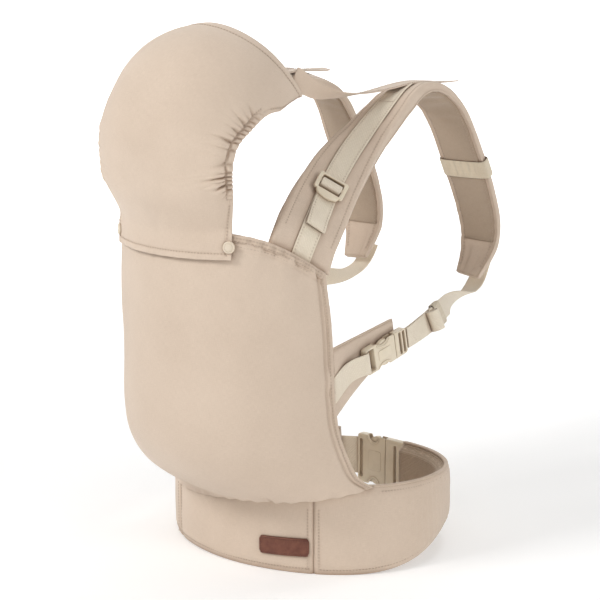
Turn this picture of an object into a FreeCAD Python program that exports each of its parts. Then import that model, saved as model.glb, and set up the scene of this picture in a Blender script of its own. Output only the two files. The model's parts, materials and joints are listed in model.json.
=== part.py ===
"""Soft baby carrier: padded waist belt, curved front panel with a fold-down hood, two padded
shoulder straps with webbing and ladder locks, two side buckles and one waist buckle.

Frame: +Z up, the wearer stands on the +Y side of the panel, +X is the wearer's left.
The origin is the centre of the waist opening, level with the belt's lowest edge. Millimetres."""
import FreeCAD, Part
import math
import os

import Sketcher

Vector = FreeCAD.Vector
os.makedirs("parts", exist_ok=True)
document = FreeCAD.newDocument("baby_carrier")

# ---------------------------------------------------------------- driving dimensions
SIZES = {
    "belt_half_width": 185.0,
    "belt_half_depth": 150.0,
    "belt_thickness": 15.0,
    "lining_thickness": 2.2,
    "shell_layer": 3.3,
    "layer_gap": 0.3,
    "binding_width": 7.0,
    "webbing_width": 25.0,
    "webbing_thickness": 2.0,
    "waist_webbing_width": 50.0,
    "strap_thickness": 14.0,
    "hood_thickness": 3.0,
    "snap_radius": 7.5,
    "snap_height": 2.2,
    "buckle_skin": 1.6,
    "buckle_gap": 0.4,
    "buckle_wall": 4.0,
    "tongue_width": 7.0,
    "side_socket_length": 53.0,
    "side_socket_width": 32.0,
    "side_buckle_depth": 9.0,
    "side_plug_length": 22.0,
    "waist_socket_length": 46.0,
    "waist_socket_width": 66.0,
    "waist_buckle_depth": 10.0,
    "waist_plug_length": 34.0,
    "ladder_length": 36.0,
    "ladder_width": 37.0,
    "ladder_depth": 4.0,
    "ladder_bar": 5.0,
    "keeper_length": 25.0,
    "keeper_wall": 1.5,
    "keeper_room": 2.5,
    "roll_radius": 8.5,
    "ring_length": 22.0,
    "ring_room": 1.2,
    "ring_wall": 1.4,
    "slot_room": 0.8,
    "slot_setback": 3.0,
    "socket_slot": 5.0,
    "plug_slot": 4.0,
}

sheet = document.addObject("Spreadsheet::Sheet", "sizes")
for row, (alias, value) in enumerate(SIZES.items(), start=1):
    sheet.set(f"A{row}", alias)
    sheet.set(f"B{row}", str(value))
    sheet.setAlias(f"B{row}", alias)
document.recompute()

parts = []


def size(alias):
    """A driving dimension, read from the sheet."""
    return float(sheet.get(alias))


def keep(item, label, placement=None):
    """Name a finished sub-part, place it and put it on the list that is written."""
    item.Label = label
    if placement is not None:
        item.Placement = placement
    parts.append(item)
    return item


def feature(label, shape):
    """A sub-part whose shape is computed from the sheet's sizes."""
    item = document.addObject("Part::Feature", label)
    item.Shape = shape
    item.Placement = FreeCAD.Placement()
    return keep(item, label)


def mirrored(source, label):
    """The same sub-part on the other side of the carrier."""
    item = document.addObject("Part::Mirroring", label)
    item.Source = source
    item.Base = Vector(0, 0, 0)
    item.Normal = Vector(1, 0, 0)
    return keep(item, label)


def pair(label, shape):
    """A sub-part on the wearer's left and its mirror image on the right."""
    left = feature(f"{label}_left", shape)
    mirrored(left, f"{label}_right")
    return left


def interpolate(table, value):
    """Read a table of (key, value) pairs at a key, in straight lines between its rows."""
    for (low, first), (high, second) in zip(table, table[1:]):
        if value <= high:
            share = max(0.0, (value - low) / (high - low))
            return first + (second - first) * share
    return table[-1][1]


def loft(wires, ruled=False):
    """A closed solid through a row of closed wires."""
    solid = Part.makeLoft(wires, True, ruled)
    return solid if solid.Volume > 0 else solid.reversed()


# ---------------------------------------------------------------- waist belt
BELT_BOTTOM = [(0, 0), (60, 0), (85, 12), (110, 32), (140, 27), (180, 22)]
BELT_TOP = [(0, 98), (100, 98), (180, 86)]
BELT_SEAM = 36.0
SEAM_GAP = 0.12
LEFT_WING_END = 168.0
RIGHT_WING_END = 159.0


def belt_point(angle, outward):
    """A point around the waist, with angle 0 at the front and 90 on the wearer's left."""
    across = size("belt_half_width")
    deep = size("belt_half_depth")
    turn = math.radians(angle)
    normal = Vector(deep * math.sin(turn), -across * math.cos(turn), 0).normalize()
    return Vector(across * math.sin(turn), -deep * math.cos(turn), 0) + normal * outward


def belt_band(start, end, inside, outside, bottom, top, step=4.5):
    """A strip that follows the belt from one angle to another."""
    count = max(3, int(abs(end - start) / step) + 1)
    wires = []
    for index in range(count):
        angle = start + (end - start) * index / (count - 1)
        low = bottom(abs(angle))
        high = top(abs(angle))
        inner = belt_point(angle, inside)
        outer = belt_point(angle, outside)
        corners = [inner + Vector(0, 0, low), outer + Vector(0, 0, low),
                   outer + Vector(0, 0, high), inner + Vector(0, 0, high)]
        wires.append(Part.makePolygon(corners + corners[:1]))
    return loft(wires, ruled=True)


def belt_bottom(angle):
    return interpolate(BELT_BOTTOM, angle)


def belt_top(angle):
    return interpolate(BELT_TOP, angle)


def waist_webbing_bottom(angle):
    return max(28.0, belt_bottom(angle) + 1.0)


def waist_webbing_top(angle):
    return waist_webbing_bottom(angle) + size("waist_webbing_width")


def belt_pad(start, end):
    return belt_band(start, end, -size("belt_thickness"), 0.0, belt_bottom, belt_top)


feature("belt_front", belt_pad(-BELT_SEAM + SEAM_GAP, BELT_SEAM - SEAM_GAP))
feature("belt_wing_left", belt_pad(BELT_SEAM, LEFT_WING_END))
feature("belt_wing_right", belt_pad(-BELT_SEAM, -RIGHT_WING_END))

lining_outside = -size("belt_thickness") - size("layer_gap")
feature("belt_lining", belt_band(1.0 - RIGHT_WING_END, LEFT_WING_END - 1.0,
                                 lining_outside - size("lining_thickness"), lining_outside,
                                 lambda angle: belt_bottom(angle) + 2.0,
                                 lambda angle: belt_top(angle) - 2.0))

LABEL_FROM, LABEL_TO = 15.6, 32.0
LABEL_BOTTOM, LABEL_TOP = 24.0, 44.0
LABEL_THICKNESS = 1.4
feature("label_patch", belt_band(LABEL_FROM, LABEL_TO, size("layer_gap"),
                                 size("layer_gap") + LABEL_THICKNESS,
                                 lambda angle: LABEL_BOTTOM, lambda angle: LABEL_TOP, step=2.5))

# ---------------------------------------------------------------- front panel
# Horizontal sections of the panel's outer face: height, then the side edge and the foremost point.
PANEL_SECTIONS = [
    (84, 163, -80, -158), (94, 163, -74, -178), (103, 162, -70, -196), (115, 159, -86, -214),
    (137, 155, -105, -236), (160, 153, -116, -250), (183, 152, -125, -257), (217, 151, -131, -260),
    (279, 150, -135, -260), (320, 150, -139, -260), (373, 148, -146, -260), (440, 148, -147, -260),
]
TOP_EDGE = [(0, 430), (55, 428), (85, 422), (115, 413), (135, 396), (149, 370), (158, 340)]
BELT_CLEARANCE = 0.5
BELOW_BELT = 10.0
CUT_ACROSS = 300.0
CUT_FRONT = -400.0
CUT_DEPTH = 500.0


def arc_points(section, start, end, depth):
    """Three points of an arc on the panel, from one angle to another, at a depth inside it."""
    height, edge_x, edge_y, front_y = section
    rise = edge_y - front_y
    radius = (edge_x ** 2 + rise ** 2) / (2 * rise)
    centre_y = front_y + radius
    points = []
    for angle in (start, (start + end) / 2, end):
        x = (radius - depth) * math.sin(angle)
        y = centre_y - (radius - depth) * math.cos(angle)
        points.append(Vector(x, y, height))
    return points


def edge_angle(section, inset):
    """The angle of the panel's side edge, less an inset measured along the arc."""
    edge_x, edge_y, front_y = section[1:]
    rise = edge_y - front_y
    radius = (edge_x ** 2 + rise ** 2) / (2 * rise)
    return math.atan2(edge_x, radius - rise) - inset / radius


def panel_wire(section, start, end, outside, inside):
    """The closed outline of one horizontal section of a layer of the panel."""
    front = arc_points(section, start, end, outside)
    back = arc_points(section, end, start, inside)
    edges = [Part.Arc(*front).toShape(), Part.makeLine(front[2], back[0]),
             Part.Arc(*back).toShape(), Part.makeLine(back[2], front[0])]
    return Part.Wire(edges)


def panel_layer(outside, inside, inset):
    wires = []
    for section in PANEL_SECTIONS:
        reach = edge_angle(section, inset)
        wires.append(panel_wire(section, -reach, reach, outside, inside))
    return loft(wires)


def below_top_edge(drop):
    """Everything under the panel's top edge, lowered by a drop square to that edge."""
    outline = [(-x, z) for x, z in reversed(TOP_EDGE[1:])] + TOP_EDGE
    moved = []
    for index, (x, z) in enumerate(outline):
        before = outline[max(0, index - 1)]
        after = outline[min(len(outline) - 1, index + 1)]
        along = Vector(after[0] - before[0], 0, after[1] - before[1]).normalize()
        moved.append(Vector(x + along.z * drop, CUT_FRONT, z - along.x * drop))
    start = Vector(-CUT_ACROSS, CUT_FRONT, 0)
    corners = [start, Vector(-CUT_ACROSS, CUT_FRONT, moved[0].z)] + moved
    corners += [Vector(CUT_ACROSS, CUT_FRONT, moved[-1].z), Vector(CUT_ACROSS, CUT_FRONT, 0), start]
    return Part.Face(Part.makePolygon(corners)).extrude(Vector(0, CUT_DEPTH, 0))


def belt_core():
    """The space inside the belt's outer face, which the panel stays clear of."""
    ellipse = Part.Ellipse(Vector(0, 0, -BELOW_BELT), size("belt_half_width") + BELT_CLEARANCE,
                           size("belt_half_depth") + BELT_CLEARANCE)
    height = BELOW_BELT + belt_top(0) + BELT_CLEARANCE
    return Part.Face(Part.Wire(ellipse.toShape())).extrude(Vector(0, 0, height))


binding = size("binding_width")
layer = size("shell_layer")
gap = size("layer_gap")
core = belt_core()
inner_edge = below_top_edge(binding + gap)
front_panel = panel_layer(0.0, layer, binding + gap).common(inner_edge).cut(core)
feature("front_panel", front_panel)
panel_lining = panel_layer(layer + gap, 2 * layer + gap, binding + gap).common(inner_edge).cut(core)
feature("panel_lining", panel_lining)

BINDING_PROUD = 0.8
binding_depth = 2 * layer + gap + BINDING_PROUD
top_strip = panel_layer(-BINDING_PROUD, binding_depth, binding + gap)
top_strip = top_strip.common(below_top_edge(0.0)).cut(below_top_edge(binding))
feature("panel_top_binding", top_strip)

side_wires = []
for station in PANEL_SECTIONS:
    side_wires.append(panel_wire(station, edge_angle(station, binding), edge_angle(station, 0.0),
                                 -BINDING_PROUD, binding_depth))
side_strip = loft(side_wires).common(below_top_edge(0.0)).cut(core)
side_strip = side_strip.cut([front_panel, panel_lining, top_strip])
pair("panel_side_binding", side_strip)

# ---------------------------------------------------------------- hood
SKIRT_SECTION = (395.0, 148.0, -147.0, -260.0)
SKIRT_REACH = math.radians(34.6)
SKIRT_TOP = 429.8
skirt_out = -gap - size("hood_thickness")
skirt_low = panel_wire(SKIRT_SECTION, -SKIRT_REACH, SKIRT_REACH, skirt_out - 0.8, -gap - 0.8)
skirt_high = skirt_low.copy()
skirt_high.translate(Vector(0, 0, SKIRT_TOP - SKIRT_SECTION[0]))
feature("hood_skirt", loft([skirt_low, skirt_high]))

# The dome is a fan of arched sections from its lower edge to its rim. Each row gives the side edge
# (across, depth, height), the middle of the arch (depth, height) and the arch's half width.
HOOD_SECTIONS = [
    (88, -235, 430.4, -264.5, 430.4, 88.5), (86, -231, 463, -277, 462, 93),
    (84, -228, 490, -289, 492, 99), (81, -217, 513, -296, 530, 103),
    (79, -201, 527, -291, 568, 104), (78, -175, 541, -268, 608, 103),
    (79, -152, 553, -238, 632, 99), (80, -130, 560, -205, 643, 92),
    (80, -111, 564, -172, 646, 84),
]
HOOD_CURL = 18.0
HOOD_POINTS = 13


def hood_arch(section, depth):
    """Points along one arch of the hood, at a depth inside its outer face."""
    edge_x, edge_y, edge_z, top_y, top_z, half_width = section
    edge = Vector(0, edge_y, edge_z)
    rise = Vector(0, top_y, top_z) - edge
    turn = math.pi - math.asin(min(1.0, edge_x / half_width))
    if half_width - edge_x < 1.0:
        turn = math.pi / 2
    curl = HOOD_CURL * abs(math.cos(turn))
    centre = edge + Vector(rise).normalize() * curl
    reach = rise.Length - curl
    upward = Vector(rise).normalize()
    points = []
    for index in range(HOOD_POINTS):
        angle = turn * (2 * index / (HOOD_POINTS - 1) - 1)
        span = reach - depth if math.cos(angle) > 0 else HOOD_CURL
        across = (half_width - depth) * math.sin(angle)
        points.append(centre + Vector(across, 0, 0) + upward * span * math.cos(angle))
    return points


def hood_wire(section):
    outer = hood_arch(section, 0.0)
    inner = list(reversed(hood_arch(section, size("hood_thickness"))))
    curves = []
    for row in (outer, inner):
        spline = Part.BSplineCurve()
        spline.interpolate(row)
        curves.append(spline.toShape())
    edges = [curves[0], Part.makeLine(outer[-1], inner[0]),
             curves[1], Part.makeLine(inner[-1], outer[0])]
    return Part.Wire(edges)


feature("hood", loft([hood_wire(section) for section in HOOD_SECTIONS]))


# ---------------------------------------------------------------- ribbons of webbing and straps
def ribbon_frames(points, widths_along, count):
    """Positions, width directions and outward normals at even steps along a smooth path."""
    path = Part.BSplineCurve()
    path.interpolate([Vector(*point) for point in points])
    sides = [(knot, Vector(*side)) for knot, side in zip(path.getKnots(), widths_along)]
    first, last = path.FirstParameter, path.LastParameter
    frames = []
    for index in range(count):
        place = first + (last - first) * index / (count - 1)
        along = path.tangent(place)[0].normalize()
        across = interpolate(sides, place)
        across = (across - along * across.dot(along)).normalize()
        frames.append((path.value(place), across, across.cross(along)))
    return frames


def ribbon(frames, widths, low, high):
    """A flat band along frames, between two heights over their mid-surface."""
    wires = []
    for index, (place, across, outward) in enumerate(frames):
        share = index / (len(frames) - 1)
        half = widths(share) / 2
        corners = [place - across * half + outward * low, place + across * half + outward * low,
                   place + across * half + outward * high, place - across * half + outward * high]
        wires.append(Part.makePolygon(corners + corners[:1]))
    return loft(wires, ruled=True)


def constant(width):
    return lambda share: width


# The shoulder strap's middle line on the wearer's left, from the panel's shoulder over the top and
# down the back, with the direction of its width at each point.
STRAP_PATH = [(131, -167.5, 404.5), (107.5, -67, 484), (102, 17, 536), (93, 78, 556),
              (91, 132, 537), (93, 176, 474), (94, 211, 402), (95, 219, 348), (92, 199, 309)]
STRAP_SIDES = [(0.43, 0.70, -0.57), (0.55, 0.83, 0.06), (0.75, 0.60, 0.25), (0.95, 0.25, 0.18),
               (1.0, 0.05, 0.08), (1.0, -0.1, 0.0), (0.98, -0.2, 0.0), (0.98, -0.2, 0.0), (1.0, 0.0, 0.0)]
STRAP_WIDTHS = [(0.0, 76), (0.1, 75), (0.2, 67), (0.3, 55), (0.45, 56), (0.6, 60), (0.75, 65),
                (0.86, 63), (0.93, 56), (1.0, 38)]
STRAP_STATIONS = 61
strap_frames = ribbon_frames(STRAP_PATH, STRAP_SIDES, STRAP_STATIONS)
half_strap = size("strap_thickness") / 2
strap = ribbon(strap_frames, lambda share: interpolate(STRAP_WIDTHS, share), -half_strap, half_strap)
pair("shoulder_strap", strap.cut([top_strip, side_strip]))

webbing = size("webbing_width")
thickness = size("webbing_thickness")
LADDER_STATION = 8
TAIL_STATION = 3
WEBBING_END = 28
on_strap = half_strap + gap
pair("adjust_webbing", ribbon(strap_frames[0:LADDER_STATION], constant(webbing),
                              on_strap, on_strap + thickness))
pair("shoulder_webbing", ribbon(strap_frames[LADDER_STATION:WEBBING_END], constant(webbing),
                                on_strap, on_strap + thickness))
pair("webbing_tail", ribbon(strap_frames[TAIL_STATION:LADDER_STATION], constant(webbing),
                            on_strap + thickness + gap, on_strap + 2 * thickness + gap))


def frame_placement(place, along, outward):
    """A placement with local X along the piece, local Z outward and local Y across it."""
    across = outward.cross(along)
    matrix = FreeCAD.Matrix(along.x, across.x, outward.x, place.x,
                            along.y, across.y, outward.y, place.y,
                            along.z, across.z, outward.z, place.z,
                            0, 0, 0, 1)
    return FreeCAD.Placement(matrix)


def rectangle(sketch, low_x, high_x, low_y, high_y):
    """A rectangle in a sketch, its four sides bound to expressions."""
    corners = [(low_x, low_y), (high_x, low_y), (high_x, high_y), (low_x, high_y)]
    first = sketch.GeometryCount
    places = []
    for along_text, across_text in corners:
        places.append((float(sketch.evalExpression(along_text)),
                       float(sketch.evalExpression(across_text))))
    for index in range(4):
        start = Vector(*places[index], 0)
        end = Vector(*places[(index + 1) % 4], 0)
        sketch.addGeometry(Part.LineSegment(start, end), False)
    for index in range(4):
        follower = first + (index + 1) % 4
        sketch.addConstraint(Sketcher.Constraint("Coincident", first + index, 2, follower, 1))
    for index in range(4):
        for kind, text, value in (("DistanceX", corners[index][0], places[index][0]),
                                  ("DistanceY", corners[index][1], places[index][1])):
            place = sketch.addConstraint(
                Sketcher.Constraint(kind, -1, 1, first + index, 1, value))
            sketch.setExpression(f"Constraints[{place}]", text)


def padded_body(name, outline, holes, depth):
    """A PartDesign body: one bound outline with bound openings, padded evenly both ways."""
    body = document.addObject("PartDesign::Body", name)
    sketch = body.newObject("Sketcher::SketchObject", f"{name}_outline")
    plane = [item for item in body.Origin.OriginFeatures if item.Role == "XY_Plane"][0]
    sketch.AttachmentSupport = [(plane, "")]
    sketch.MapMode = "FlatFace"
    for limits in [outline] + holes:
        rectangle(sketch, *limits)
    pad = body.newObject("PartDesign::Pad", f"{name}_pad")
    pad.Profile = sketch
    pad.SideType = "Symmetric"
    pad.setExpression("Length", depth)
    return body


# ---------------------------------------------------------------- ladder locks
ladder_place, ladder_across, ladder_outward = strap_frames[LADDER_STATION]
LADDER_LIFT = 3.2
ladder_base = ladder_place + ladder_outward * (on_strap + 2 * thickness + gap + LADDER_LIFT)
ladder_left = padded_body(
    "ladder_lock_left",
    ("-sizes.ladder_length / 2", "sizes.ladder_length / 2",
     "-sizes.ladder_width / 2", "sizes.ladder_width / 2"),
    [("-sizes.ladder_length / 2 + sizes.ladder_bar", "-sizes.ladder_bar / 2",
      "-sizes.webbing_width / 2 - sizes.slot_room", "sizes.webbing_width / 2 + sizes.slot_room"),
     ("sizes.ladder_bar / 2", "sizes.ladder_length / 2 - sizes.ladder_bar",
      "-sizes.webbing_width / 2 - sizes.slot_room", "sizes.webbing_width / 2 + sizes.slot_room")],
    "sizes.ladder_depth")
ladder_frame = frame_placement(ladder_base, ladder_outward.cross(ladder_across), ladder_outward)
keep(ladder_left, "ladder_lock_left", ladder_frame)
mirrored(ladder_left, "ladder_lock_right")


# ---------------------------------------------------------------- bound blocks
def block(name, low, high):
    """A Part box between two corners given as expressions."""
    item = document.addObject("Part::Box", name)
    for side, axis, start, end in zip(("Length", "Width", "Height"), "xyz", low, high):
        item.setExpression(side, f"({end}) - ({start})")
        item.setExpression(f"Placement.Base.{axis}", start)
    return item


def joined(name, items):
    item = document.addObject("Part::MultiFuse", name)
    item.Shapes = items
    return item


def carved(name, base, tools):
    item = document.addObject("Part::Cut", name)
    item.Base = base
    item.Tool = joined(f"{name}_openings", tools) if len(tools) > 1 else tools[0]
    return item


# ---------------------------------------------------------------- strap keepers
KEEPER_STATION = 45
keeper_place, keeper_across, keeper_outward = strap_frames[KEEPER_STATION]
keeper_along = keeper_outward.cross(keeper_across)
keeper_half = interpolate(STRAP_WIDTHS, KEEPER_STATION / (STRAP_STATIONS - 1)) / 2
room_across = f"({keeper_half} + sizes.keeper_room)"
room_deep = "(sizes.strap_thickness / 2 + sizes.keeper_room)"
keeper_outer = block("keeper_outside",
                     ("-sizes.keeper_length / 2", f"-{room_across} - sizes.keeper_wall",
                      f"-{room_deep} - sizes.keeper_wall"),
                     ("sizes.keeper_length / 2", f"{room_across} + sizes.keeper_wall",
                      f"{room_deep} + sizes.keeper_wall"))
keeper_inner = block("keeper_inside",
                     ("-sizes.keeper_length", f"-{room_across}", f"-{room_deep}"),
                     ("sizes.keeper_length", room_across, room_deep))
keeper_left = carved("strap_keeper_left", keeper_outer, [keeper_inner])
keep(keeper_left, "strap_keeper_left", frame_placement(keeper_place, keeper_along, keeper_outward))
mirrored(keeper_left, "strap_keeper_right")


# ---------------------------------------------------------------- side-release buckles
def buckle(prefix, width, depth, socket, plug, web):
    """Socket, plug and two prongs. Local X points out of the socket, whose mouth is at X = 0."""
    skin, wall, clear = "sizes.buckle_skin", "sizes.buckle_wall", "sizes.buckle_gap"
    hollow = f"({depth} / 2 - {skin})"
    window = f"(0.62 * {socket})"
    casing = block(f"{prefix}_casing", (f"-{socket}", f"-{width} / 2", f"-{depth} / 2"),
                   ("0", f"{width} / 2", f"{depth} / 2"))
    cavity = block(f"{prefix}_cavity", (f"-0.72 * {socket}", f"-{width} / 2 + {wall}", f"-{hollow}"),
                   ("1", f"{width} / 2 - {wall}", hollow))
    windows = block(f"{prefix}_windows", (f"-{window}", f"-{width}", f"-{hollow}"),
                    ("1", width, hollow))
    low_slot, high_slot = f"-{web} / 2 - sizes.slot_room", f"{web} / 2 + sizes.slot_room"
    slot_start = f"-{socket} + sizes.slot_setback"
    slot = block(f"{prefix}_slot", (slot_start, low_slot, f"-{depth}"),
                 (f"{slot_start} + sizes.socket_slot", high_slot, depth))
    shell = carved(f"{prefix}_socket", casing, [cavity, windows, slot])
    base = block(f"{prefix}_base", (clear, f"-{width} / 2", f"-{depth} / 2"),
                 (plug, f"{width} / 2", f"{depth} / 2"))
    tongue = block(f"{prefix}_tongue",
                   (f"-0.6 * {socket}", "-sizes.tongue_width / 2", f"-{hollow} + {clear}"),
                   ("3", "sizes.tongue_width / 2", f"{hollow} - {clear}"))
    solid = joined(f"{prefix}_plug_blank", [base, tongue])
    near_start = f"{plug} / 2 - sizes.slot_setback"
    near_slot = block(f"{prefix}_near_slot", (near_start, low_slot, f"-{depth}"),
                      (f"{near_start} + sizes.plug_slot", high_slot, depth))
    far_start = f"{plug} - sizes.slot_setback - sizes.plug_slot"
    far_slot = block(f"{prefix}_far_slot", (far_start, low_slot, f"-{depth}"),
                     (f"{far_start} + sizes.plug_slot", high_slot, depth))
    ladder = carved(f"{prefix}_plug", solid, [near_slot, far_slot])
    prongs = []
    for side in (1, -1):
        limits = (f"{width} / 2 - {wall} - 4.5", f"{width} / 2 - {wall} - {clear}",
                  f"{width} / 2 - 0.2")
        inner, arm_out, tip_out = limits
        if side < 0:
            arm_y, tip_y = (f"-({arm_out})", f"-({inner})"), (f"-({tip_out})", f"-({inner})")
        else:
            arm_y, tip_y = (inner, arm_out), (inner, tip_out)
        arm = block(f"{prefix}_arm{len(prongs)}",
                    (f"-0.58 * {socket}", arm_y[0], f"-{hollow} + {clear}"),
                    ("0", arm_y[1], f"{hollow} - {clear}"))
        tip = block(f"{prefix}_tip{len(prongs)}",
                    (f"-0.58 * {socket}", tip_y[0], f"-{hollow} + {clear}"),
                    (f"-0.30 * {socket}", tip_y[1], f"{hollow} - {clear}"))
        prongs.append(joined(f"{prefix}_prong{len(prongs)}", [arm, tip]))
    return shell, ladder, prongs


SIDE_SLOPE = math.radians(12.0)
side_along = Vector(0, math.cos(SIDE_SLOPE), math.sin(SIDE_SLOPE))
SIDE_MOUTH = Vector(156.0, -34.0, 270.0)
side_frame = frame_placement(SIDE_MOUTH, side_along, Vector(1, 0, 0))
side_shell, side_ladder, side_prongs = buckle(
    "side", "sizes.side_socket_width", "sizes.side_buckle_depth", "sizes.side_socket_length",
    "sizes.side_plug_length", "sizes.webbing_width")
for item, label in ((side_shell, "side_socket"), (side_ladder, "side_plug"),
                    (side_prongs[0], "side_prong_upper"), (side_prongs[1], "side_prong_lower")):
    keep(item, f"{label}_left", side_frame)
    mirrored(item, f"{label}_right")

WAIST_MOUTH = Vector(-2.0, 156.0, 53.0)
waist_frame = frame_placement(WAIST_MOUTH, Vector(1, 0, 0), Vector(0, 1, 0))
waist_shell, waist_ladder, waist_prongs = buckle(
    "waist", "sizes.waist_socket_width", "sizes.waist_buckle_depth", "sizes.waist_socket_length",
    "sizes.waist_plug_length", "sizes.waist_webbing_width")
for item, label in ((waist_shell, "waist_socket"), (waist_ladder, "waist_plug"),
                    (waist_prongs[0], "waist_prong_lower"), (waist_prongs[1], "waist_prong_upper")):
    keep(item, label, waist_frame)


# ---------------------------------------------------------------- waist webbing
def upright_ribbon(route, width, middle):
    """Vertical webbing along a route of (x, y) points, with its middle at a height."""
    frames = []
    points = [Vector(x, y, middle) for x, y in route]
    for index, place in enumerate(points):
        before = points[max(0, index - 1)]
        after = points[min(len(points) - 1, index + 1)]
        along = (after - before).normalize()
        frames.append((place, Vector(0, 0, 1), Vector(0, 0, 1).cross(along)))
    return ribbon(frames, constant(width), -thickness / 2, thickness / 2)


def on_belt(angle, outward):
    point = belt_point(angle, outward)
    return (point.x, point.y)


END_GAP = 0.6
webbing_out = 0.6 + thickness / 2
socket_end = WAIST_MOUTH.x - size("waist_socket_length") - END_GAP
plug_end = WAIST_MOUTH.x + size("waist_plug_length") + END_GAP
right_route = [on_belt(-angle, webbing_out) for angle in (122, 130, 138, 146, 154)]
right_route += [(-62, 146.5), (socket_end, 155.5)]
feature("waist_webbing_right", upright_ribbon(right_route, size("waist_webbing_width"), 55.0))
left_route = [(plug_end, 156.0), (44, 154.5)]
left_route += [on_belt(angle, webbing_out + 1.5) for angle in (160, 153, 146, 138, 130, 122)]
feature("waist_webbing_left", upright_ribbon(left_route, size("waist_webbing_width"), 55.0))

# ---------------------------------------------------------------- side wings and side webbing
WING_ROOT = [(-130, 198), (-133, 280)]
WING_TIP = [(-19, 262), (-24, 297)]
WING_INNER, WING_OUTER = 140.5, 149.5


def wing_wire(limits, inner, outer):
    (low_y, low_z), (high_y, high_z) = limits
    corners = [Vector(inner, low_y, low_z), Vector(outer, low_y, low_z),
               Vector(outer, high_y, high_z), Vector(inner, high_y, high_z)]
    return Part.makePolygon(corners + corners[:1])


wing = loft([wing_wire(WING_ROOT, WING_INNER, WING_OUTER),
             wing_wire(WING_TIP, WING_INNER + 1.5, WING_OUTER - 1.5)], ruled=True)
pair("side_wing", wing.cut(side_strip))

side_across = Vector(0, -math.sin(SIDE_SLOPE), math.cos(SIDE_SLOPE))
socket_back = SIDE_MOUTH - side_along * (size("side_socket_length") + 6 * END_GAP)
SEWN_END = Vector(151.2, -126.0, 247.5)
route = [tuple(SEWN_END), tuple(SEWN_END + Vector(0.4, 18, 4)), tuple(socket_back)]
socket_frames = ribbon_frames(route, [tuple(side_across)] * len(route), 7)
pair("socket_webbing", ribbon(socket_frames, constant(webbing), -thickness / 2, thickness / 2))

plug_back = SIDE_MOUTH + side_along * (size("side_plug_length") + END_GAP)
LOWER_ROUTE = [tuple(plug_back), (154, 22, 282.0), (142, 68, 288), (124, 112, 290),
               (107, 152, 288), (97, 190, 288.5), (93.5, 213, 299.5), (92.5, 229, 322)]
LOWER_SIDES = [tuple(-side_across), (-0.05, 0.25, -0.97), (-0.25, 0.1, -0.95), (-0.5, -0.1, -0.8),
               (-0.8, -0.25, -0.5), (-0.97, -0.2, -0.15), (-1, 0, 0), (-1, 0.1, 0)]
lower_frames = ribbon_frames(LOWER_ROUTE, LOWER_SIDES, 29)
pair("lower_webbing", ribbon(lower_frames, constant(webbing), -thickness / 2, thickness / 2))

ROLL_STATION = 6
RING_STATION = 9
roll_place, roll_across, roll_outward = lower_frames[ROLL_STATION]
roll_centre = roll_place + roll_outward * (size("roll_radius") + thickness / 2 + gap)
roll = document.addObject("Part::Cylinder", "tail_roll_cylinder")
roll.setExpression("Radius", "sizes.roll_radius")
roll.setExpression("Height", "sizes.webbing_width")
turned = FreeCAD.Rotation(Vector(0, 0, 1), roll_across)
keep(roll, "tail_roll_left", FreeCAD.Placement(roll_centre - roll_across * (webbing / 2), turned))
mirrored(roll, "tail_roll_right")

ring_place, ring_side, ring_outward = lower_frames[RING_STATION]
ring_along = ring_outward.cross(ring_side)
ring_across = "(sizes.webbing_width / 2 + sizes.ring_room)"
ring_deep = "(sizes.webbing_thickness / 2 + sizes.ring_room)"
ring_outer = block("roll_ring_outside",
                   ("-sizes.ring_length / 2", f"-{ring_across} - sizes.ring_wall",
                    f"-{ring_deep} - sizes.ring_wall"),
                   ("sizes.ring_length / 2", f"{ring_across} + sizes.ring_wall",
                    f"{ring_deep} + sizes.ring_wall"))
ring_inner = block("roll_ring_inside",
                   ("-sizes.ring_length", f"-{ring_across}", f"-{ring_deep}"),
                   ("sizes.ring_length", ring_across, ring_deep))
ring_left = carved("tail_keeper_left", ring_outer, [ring_inner])
keep(ring_left, "tail_keeper_left", frame_placement(ring_place, ring_along, ring_outward))
mirrored(ring_left, "tail_keeper_right")

# ---------------------------------------------------------------- hood snaps, elastic and tapes
SNAP_ANGLE = math.radians(30.5)
SNAP_HEIGHT = 408.0
panel_radius = 153.5
panel_centre = panel_radius - 260.0
snap_normal = Vector(math.sin(SNAP_ANGLE), -math.cos(SNAP_ANGLE), 0)
snap_foot = Vector(0, panel_centre, SNAP_HEIGHT) + snap_normal * (panel_radius + 5.2)
cap = document.addObject("Part::Cone", "snap_cap_cone")
cap.setExpression("Radius1", "sizes.snap_radius")
cap.setExpression("Radius2", "sizes.snap_radius - 1.2")
cap.setExpression("Height", "sizes.snap_height")
outward_turn = FreeCAD.Rotation(Vector(0, 0, 1), snap_normal)
keep(cap, "snap_cap_left", FreeCAD.Placement(snap_foot, outward_turn))
mirrored(cap, "snap_cap_right")
stud = document.addObject("Part::Cylinder", "snap_stud_cylinder")
stud.setExpression("Radius", "sizes.snap_radius - 1.5")
stud.setExpression("Height", "sizes.snap_height - 0.6")
stud_foot = Vector(0, panel_centre, SNAP_HEIGHT) + snap_normal * (panel_radius - 9.4)
keep(stud, "snap_stud_left", FreeCAD.Placement(stud_foot, outward_turn))
mirrored(stud, "snap_stud_right")

ELASTIC_RADIUS = 1.6
ELASTIC_SETBACK = 5.0
elastic_route = []
for edge_x, edge_y, edge_z in (section[:3] for section in HOOD_SECTIONS[1:7]):
    elastic_route.append(Vector(edge_x - 3.0, edge_y + ELASTIC_SETBACK, edge_z - 1.0))
elastic_curve = Part.BSplineCurve()
elastic_curve.interpolate(elastic_route)
elastic_start = Part.Circle(elastic_route[0], elastic_curve.tangent(elastic_curve.FirstParameter)[0],
                            ELASTIC_RADIUS)
elastic = Part.Wire(elastic_curve.toShape()).makePipe(Part.Face(Part.Wire(elastic_start.toShape())))
pair("hood_elastic", elastic)

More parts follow.
